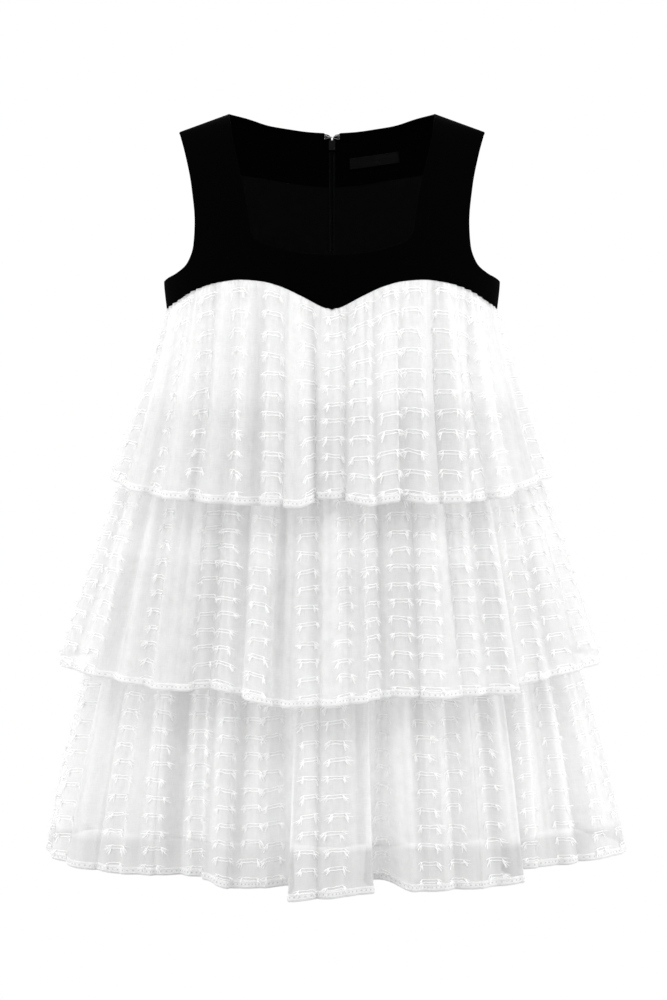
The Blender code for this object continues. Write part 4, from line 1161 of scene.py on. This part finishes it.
tiers = {}
for name in TIERS:
    for side in (FRONT, BACK):
        sheet, across, fall, length = hang_tier(name, side)
        hem_run = float(np.linalg.norm(np.diff(sheet[-1], axis=0), axis=-1).sum())
        flat = np.stack(np.meshgrid((across + 1) / 2 * hem_run, fall * length), -1)
        faces = grid_faces(*sheet.shape[:2])
        if side == FRONT:
            faces = faces[:, ::-1]
        cloth = painted_shade_organza if name == "tier_bottom" else organza
        piece = make_piece(f"{name}_{HALF_NAME[side]}_cloth", sheet, faces, cloth,
                           flat, 180)
        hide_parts(f"{name}_{HALF_NAME[side]}")
        # painted shade: each point stores how much darker its colour is painted
        if name == "tier_bottom":
            below = piece.data.attributes.new("painted_shade_below_slip", "FLOAT", "POINT")
            below.data.foreach_set("value", painted_shade_share(sheet).ravel())
        tiers[name, side] = dict(
            piece=piece, sheet=sheet, normal=skin_normals(sheet, side), across=across, fall=fall,
            length=length, hem=hem_run, parts=[],
        )
        print(piece.name, "cut", round(hem_run, 3), "by", round(length, 3), "m,", len(faces), "faces")

# %% [markdown]
# ## Placing things on hung cloth
# Hems and yarns are sewn or woven into the flat cloth, so they are placed by how far along a row of the
# cloth and how far above the hem they are. This helper reads the hung sheet between its grid points and
# goes on straight past the hem for what hangs over it.

# %% Read a place on the cloth


def on_cloth(tier, column, row, lift):
    """Points lifted off a hung sheet's face, at columns and rows that may lie between its grid points."""
    sheet, normal = tier["sheet"], tier["normal"]
    last_row, last_column = sheet.shape[0] - 1, sheet.shape[1] - 1
    over = np.maximum(row - last_row, 0)[..., None]
    row, column = np.clip(row, 0, last_row - 1e-6), np.clip(column, 0, last_column - 1e-6)
    i, j = row.astype(int), column.astype(int)
    a, b = (row - i)[..., None], (column - j)[..., None]

    def blend(grid):
        high = grid[i, j] * (1 - b) + grid[i, j + 1] * b
        low = grid[i + 1, j] * (1 - b) + grid[i + 1, j + 1] * b
        return high * (1 - a) + low * a

    down = sheet[i + 1, j] - sheet[i, j]
    return blend(sheet) + unit(blend(normal)) * lift[..., None] + down * over


print("sheets that can be read:", len(tiers))

# %% [markdown]
# ## Hem bands
# Each tier ends in a narrow turned hem. Its cloth is double or triple there, so it looks nearly solid,
# and a row of small openings between two raised threads runs along it. The band is a strip folded round
# the cloth's edge.

# %% Sew the hem bands
BAND = ((0.0080, 0.0003), (0.0074, 0.0007), (0.0052, 0.0008), (0.0030, 0.0008), (0.0008, 0.0007), (0.0, 0.0),
        (0.0008, -0.0006), (0.0040, -0.0007), (0.0078, -0.0004))
THREAD_ROWS, THREAD_RADIUS = (0.0019, 0.0064), 0.00027
for (name, side), tier in tiers.items():
    column = np.arange(len(tier["across"]), dtype=float)
    step = tier["length"] / (len(tier["fall"]) - 1)
    last = len(tier["fall"]) - 1
    strips = [on_cloth(tier, column, np.full(column.shape, last - up / step), np.full(column.shape, lift))
              for up, lift in BAND]
    hem_along = (tier["across"] + 1) / 2 * tier["hem"]
    flat = np.stack([np.stack([hem_along, np.full(column.shape, up)], -1) for up, _ in BAND])
    band = make_piece(f"{name}_{HALF_NAME[side]}_hem", np.stack(strips), grid_faces(len(BAND), len(column)),
                      hem_cloth, flat, 70)
    paths = [on_cloth(tier, column, np.full(column.shape, last - up / step), np.full(column.shape, 0.0009))
             for up in THREAD_ROWS]
    points, faces = tubes(paths, THREAD_RADIUS, 4)
    threads = make_piece(f"{name}_{HALF_NAME[side]}_hem_threads", points, faces, yarn_thread)
    tier["parts"] += [band, threads]
print("hem bands:", len(tiers))

# %% [markdown]
# ## Clipped yarns
# The cloth is woven with extra yarns that float over its face for a short way and are then clipped. Each
# figure is a pair of floats, 15 mm long and 3 mm apart, whose cut ends fray into drooping tufts. They
# stand in columns that follow the threads and so show every fold. Each yarn is a narrow crowned ribbon,
# laid out flat first and then placed on the hung cloth, with its length, tilt and fraying drawn from
# seeded random numbers.

# %% Lay out a ribbon of yarn
FLOAT_HALF, FLOAT_GAP, FLOAT_WIDE, FLOAT_CROWN = 0.0074, 0.0030, 0.00040, 0.25


def ribbon_points(paths, half_widths):
    """Narrow, crowned ribbons in flat cloth coordinates (along, down, lift), and one ribbon's faces."""
    along = unit(np.gradient(paths, axis=1))
    side = unit(np.stack([-along[..., 1], along[..., 0], np.zeros(along.shape[:2])], -1))
    wide = np.asarray(half_widths)[None, :, None, None] * np.array([-1.0, 0.0, 1.0])[:, None]
    crown = np.asarray(half_widths)[None, :, None, None] * np.array([0.0, FLOAT_CROWN, 0.0])[:, None]
    points = paths[:, :, None] + side[:, :, None] * wide + np.array([0.0, 0.0, 1.0]) * crown
    faces = [(3 * k + j, 3 * k + j + 1, 3 * k + j + 4, 3 * k + j + 3)
             for k in range(paths.shape[1] - 1) for j in range(2)]
    return points.reshape(len(paths), -1, 3), np.array(faces)


print("a float is", 2000 * FLOAT_HALF, "mm long")

# %% [markdown]
# ## Clipped yarns: one figure
# A figure is two floats side by side. At each end the yarns fray into ten fibres: two stay together as a
# clump that droops, and the others spread. All figures of a row are laid out at once, each with lengths
# and angles of its own.

# %% Draw the figures
FLOAT_STEPS = np.linspace(-1, 1, 6)
TUFT_FIBRES = 10


def clipped_figures(count, dice):
    """Floats and frayed ends of a number of figures, in flat coordinates round each figure's middle."""
    half = FLOAT_HALF * dice.uniform(0.90, 1.08, count)
    tilt = dice.normal(0, 0.05, count)
    groups = []
    for strand in (-1, 1):
        uneven = dice.normal(0, 0.00035, (count, len(FLOAT_STEPS)))
        along = half[:, None] * FLOAT_STEPS
        down = strand * FLOAT_GAP / 2 + tilt[:, None] * along + uneven * 0.6
        lift = 0.0003 + 0.0003 * (1 - FLOAT_STEPS**2) + abs(uneven) * 0.5
        widths = np.full(len(FLOAT_STEPS), FLOAT_WIDE)
        groups.append(ribbon_points(np.stack([along, down, lift], -1), widths))
    t = np.array([0, 0.4, 1.0])
    for end in (-1, 1):
        for fibre in range(TUFT_FIBRES):
            clump = fibre < 2
            angle = dice.uniform(0.8, 1.35, count) if clump else dice.uniform(0.1, 1.6, count)
            reach = dice.uniform(0.0045, 0.0085, count)
            start_down = dice.choice([-1, 1], count) * FLOAT_GAP / 2
            rise = dice.uniform(0.0002, 0.0014, count) if clump else dice.uniform(0.0003, 0.0060, count)
            along = end * (half[:, None] + reach[:, None] * np.cos(angle)[:, None] * t)
            bend = reach[:, None] * np.sin(angle)[:, None] * t**1.3
            down = start_down[:, None] + tilt[:, None] * along + bend
            lift = 0.0003 + rise[:, None] * np.sin(t * 1.8)
            radii = np.array([0.0005, 0.0007, 0.0004]) if clump else np.array([0.00032, 0.00024, 0.00012])
            groups.append(ribbon_points(np.stack([along, down, lift], -1), radii))
    return groups


print("pieces of yarn in a figure:", 2 + 2 * TUFT_FIBRES)

# %% [markdown]
# ## Clipped yarns: rows and columns
# The figures stand in rows, one above the other in columns. At the front each column was read off the
# photo, at one height of its tier, and more columns go on to the side seams at the usual distance. At
# the back they are spread evenly.

# %% Weave in the clipped yarns
ROW_PITCH, FIRST_ROW, COLUMN_PITCH = 0.0183, 0.0100, 0.0430
# where the columns stand at the front: how far down the tier and across it, in metres
COLUMNS = {
    "tier_top": (0.50, (
        -0.1925, -0.1645, -0.1333, -0.0970, -0.0607, -0.0223, 0.0036, 0.0296, 0.0607, 0.0856,
        0.1188, 0.1437, 0.1676, 0.1987,
    )),
    "tier_middle": (0.66, (
        -0.2320, -0.1778, -0.1296, -0.1081, -0.0732, -0.0241, 0.0118, 0.0405, 0.0712, 0.0988,
        0.1326, 0.1633, 0.1950, 0.2247,
    )),
    "tier_bottom": (0.66, (
        -0.2700, -0.2180, -0.1820, -0.1360, -0.1100, -0.0800, -0.0595, -0.0239, 0.0036, 0.0524,
        0.0961, 0.1236, 0.1592, 0.2060, 0.2354, 0.2710,
    )),
}


def weave_yarns(name, side, tier, seed):
    """All figures of half a tier as one piece."""
    dice = np.random.default_rng(seed)
    sheet, fall, length = tier["sheet"], tier["fall"], tier["length"]
    last = len(fall) - 1
    if side == FRONT:
        level, places = COLUMNS[name]
        x = np.maximum.accumulate(sheet[int(level * last), :, 0])
        columns = np.interp(places, x, np.arange(len(x)))
        pitch = COLUMN_PITCH / tier["hem"] * (len(x) - 1)
        columns = np.concatenate([
            np.arange(columns[0] - pitch, 0.2 * pitch, -pitch), columns,
            np.arange(columns[-1] + pitch, len(x) - 1 - 0.2 * pitch, pitch),
        ])
    else:
        count = round(tier["hem"] / COLUMN_PITCH)
        columns = (np.arange(count) + 0.5) / count * (sheet.shape[1] - 1)
    columns = columns + dice.normal(0, 0.4, len(columns))
    rows = np.arange(FIRST_ROW, length - 0.006, ROW_PITCH)
    all_points, all_faces, start = [], [], 0
    for up in rows:
        row = last - up / length * last
        i = min(int(row), last - 1)
        line = sheet[i] + (sheet[i + 1] - sheet[i]) * (row - i)
        run = np.concatenate([[0], np.linalg.norm(np.diff(line, axis=0), axis=-1).cumsum()])
        middle = np.interp(columns, np.arange(len(run)), run) + dice.normal(0, 0.0011, len(columns))
        shift_down = dice.normal(0, 0.0007, len(columns))
        for points, faces in clipped_figures(len(columns), dice):
            along = middle[:, None] + points[..., 0]
            column = np.interp(along, run, np.arange(len(run)))
            down = row + (points[..., 1] + shift_down[:, None]) / length * last
            placed = on_cloth(tier, column, down, points[..., 2])
            for k in range(len(columns)):
                all_faces.append(faces + start)
                start += points.shape[1]
            all_points.append(placed.reshape(-1, 3))
    points, faces = np.concatenate(all_points), np.concatenate(all_faces)
    yarns = make_piece(f"{name}_{HALF_NAME[side]}_yarns", points, faces, yarn_thread,
                       None, 180)
    tier["parts"].append(yarns)
    return len(rows) * len(columns), len(faces)


for seed, ((name, side), tier) in enumerate(tiers.items()):
    figures, faces = weave_yarns(name, side, tier, 40 + seed)
    print(name, HALF_NAME[side], "figures:", figures, "faces:", faces)

# %% [markdown]
# ## Zip
# A coil zip is two tapes with a nylon spiral sewn to each. The two spirals lock into one ridge of small
# bumps. It is seen from inside through the neck, under the slider, and the outside of the back only
# shows the closed seam with the pull tab at its top. The slider and the tab keep their CAD shapes and
# get an enamelled metal finish.

# %% Make the zip's coils and tapes
TAPE_HALF, COIL_PITCH, COIL_RADIUS = 0.0034, 0.0013, 0.00062
zip_z = np.arange(BACK_SEAM_Z, ZIP_TOP_Z - 0.001, COIL_PITCH / 2)
turn, run = bodice_place(BACK, np.zeros_like(zip_z), zip_z)
turn = np.zeros_like(run)
on_seam, out_of_back = bodice_point(BACK, turn, run), bodice_normal(BACK, turn, run)
tape_line = on_seam - out_of_back * (CREPE + SEAM + 0.0006)
tape = np.stack([tape_line + [x, 0, 0] for x in (-TAPE_HALF, -0.0012, 0.0012, TAPE_HALF)])
zip_tape = make_piece("zip_tapes", tape, grid_faces(4, len(zip_z)), ribbon, None, 60)
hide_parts("zip_chain")
coil_line = on_seam - out_of_back * (CREPE + SEAM + 0.0014)
bend = np.linspace(-1.1, 1.1, 5)[:, None]
loops = [coil_line[k] + np.array([1.0, 0.0, 0.0]) * (-1) ** k * (0.0013 * np.cos(bend) - 0.0004)
         + out_of_back[k] * 0.0009 * np.sin(bend) for k in range(len(zip_z))]
points, faces = tubes(loops, COIL_RADIUS, 5)
zip_coils = make_piece("zip_coils", points, faces, nylon)
for node in ("zip_slider", "zip_pull"):
    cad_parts[node].material_slots[0].material = metal
print("coil loops:", len(loops))

# %% [markdown]
# ## Hook and eye
# Above the zip a small wire hook and a wire eye hold the neck together. Each is one bright wire bent
# into two sewing rings. Their lines are drawn flat in millimetres, as a person would bend them, and then
# wrapped onto the inside of the facing.

# %% Bend the hook and the eye
WIRE, HOOK_Z = 0.00036, -0.0163


def inside_back(flat, depth):
    """Points of the back's inner side for (across, height) places, at a depth below the outer face."""
    flat = np.asarray(flat, float)
    place = bodice_place(BACK, flat[:, 0], flat[:, 1])
    depth = np.broadcast_to(depth, len(flat))[:, None]
    return bodice_point(BACK, *place) - bodice_normal(BACK, *place) * depth


def bent_wire(turns, steps=40):
    """A smooth line through a few bends given in millimetres."""
    turns = np.asarray(turns, float) / 1000
    at, dense = np.arange(len(turns)), np.linspace(0, len(turns) - 1, steps)
    line = np.stack([np.interp(dense, at, turns[:, k]) for k in range(2)], -1)
    for _ in range(3):
        line[1:-1] = (line[:-2] + 2 * line[1:-1] + line[2:]) / 4
    return line + [0, HOOK_Z]


# the hook on the left: a ring, out to the bend over the opening, back and round the second ring
hook_line = bent_wire((
    (-6.5, 0.4), (-8.2, 0.6), (-8.4, 2.2), (-6.8, 2.3), (-5.2, 0.7), (-0.6, 0.5), (0.6, 0.1),
    (-0.6, -0.3), (-5.2, -0.6), (-6.8, -2.0), (-8.4, -1.9), (-8.2, -0.4), (-6.5, -0.2),
))
eye_line = bent_wire((
    (6.3, 0.4), (8.0, 0.6), (8.3, 2.2), (6.8, 2.5), (4.6, 1.3), (2.4, 1.2), (0.9, 0.0),
    (2.4, -1.2), (4.6, -1.2), (6.8, -2.3), (8.3, -2.0), (8.0, -0.5), (6.3, -0.3),
))
wire_depth = CREPE + FACING + SEAM + 0.0007
points, faces = tubes([inside_back(line, wire_depth) for line in (hook_line, eye_line)], WIRE, 6)
bright_wire, *_ = plain_finish("bright_wire", (0.85, 0.85, 0.86), 0.22, Metallic=1.0)
hook_and_eye = make_piece("hook_and_eye", points, faces, bright_wire)
print("points in each wire:", len(hook_line))

# %% [markdown]
# ## Hand stitches
# Black thread holds the wire rings to the facing, six stitches to each ring, and the label is held by
# seven stitches at each short end. Each stitch is a very short cord that lies across the edge it holds.

# %% Sew on the hook, the eye and the label
HOOK_THREAD = 0.00022
RING_STITCHES, LABEL_STITCHES = 6, 7
stitch_lines = []
for side_x in (-7.4, 7.3):
    for ring_z in (1.3, -1.2):
        for angle in np.linspace(0, 2 * math.pi, RING_STITCHES, endpoint=False):
            across = side_x + np.array([0.3, 1.5]) * math.cos(angle)
            height = ring_z + np.array([0.3, 1.5]) * math.sin(angle)
            stitch = np.stack([across, height], -1) / 1000 + [0, HOOK_Z]
            stitch_lines.append(inside_back(stitch, wire_depth + 0.0003))
label_corners = np.array(LABEL_CORNERS)
for first, second in ((label_corners[0], label_corners[3]), (label_corners[1], label_corners[2])):
    for k in range(LABEL_STITCHES):
        middle = first + (second - first) * (k + 0.5) / LABEL_STITCHES
        ends = np.stack([middle - [0.0011, 0], middle + [0.0011, 0]])
        stitch_lines.append(inside_back(ends, CREPE + FACING + 2 * SEAM + 0.0009))
points, faces = tubes(stitch_lines, HOOK_THREAD, 4)
small_stitches = make_piece("small_stitches", points, faces, nylon)
print("hand stitches:", len(stitch_lines))

# %% [markdown]
# ## Cloth as it was cut
# For each sheet of the back, its area is capped at the size it was cut to, and the result is not kept.

PANEL_FLATS = {
    "back_panel": (0.220, 0.225), "back_facing_cloth": (0.200, 0.078), "back_lining_cloth": (0.220, 0.165),
    "neck_label": (0.0545, 0.0122),
}
for name, (piece, area) in back_areas.items():
    flat = next(v for k, v in PANEL_FLATS.items() if name.startswith(k))
    area = min(area, flat[0] * flat[1])
print("sheets:", 1 + len(back_areas) + len(slips) + len(tiers))
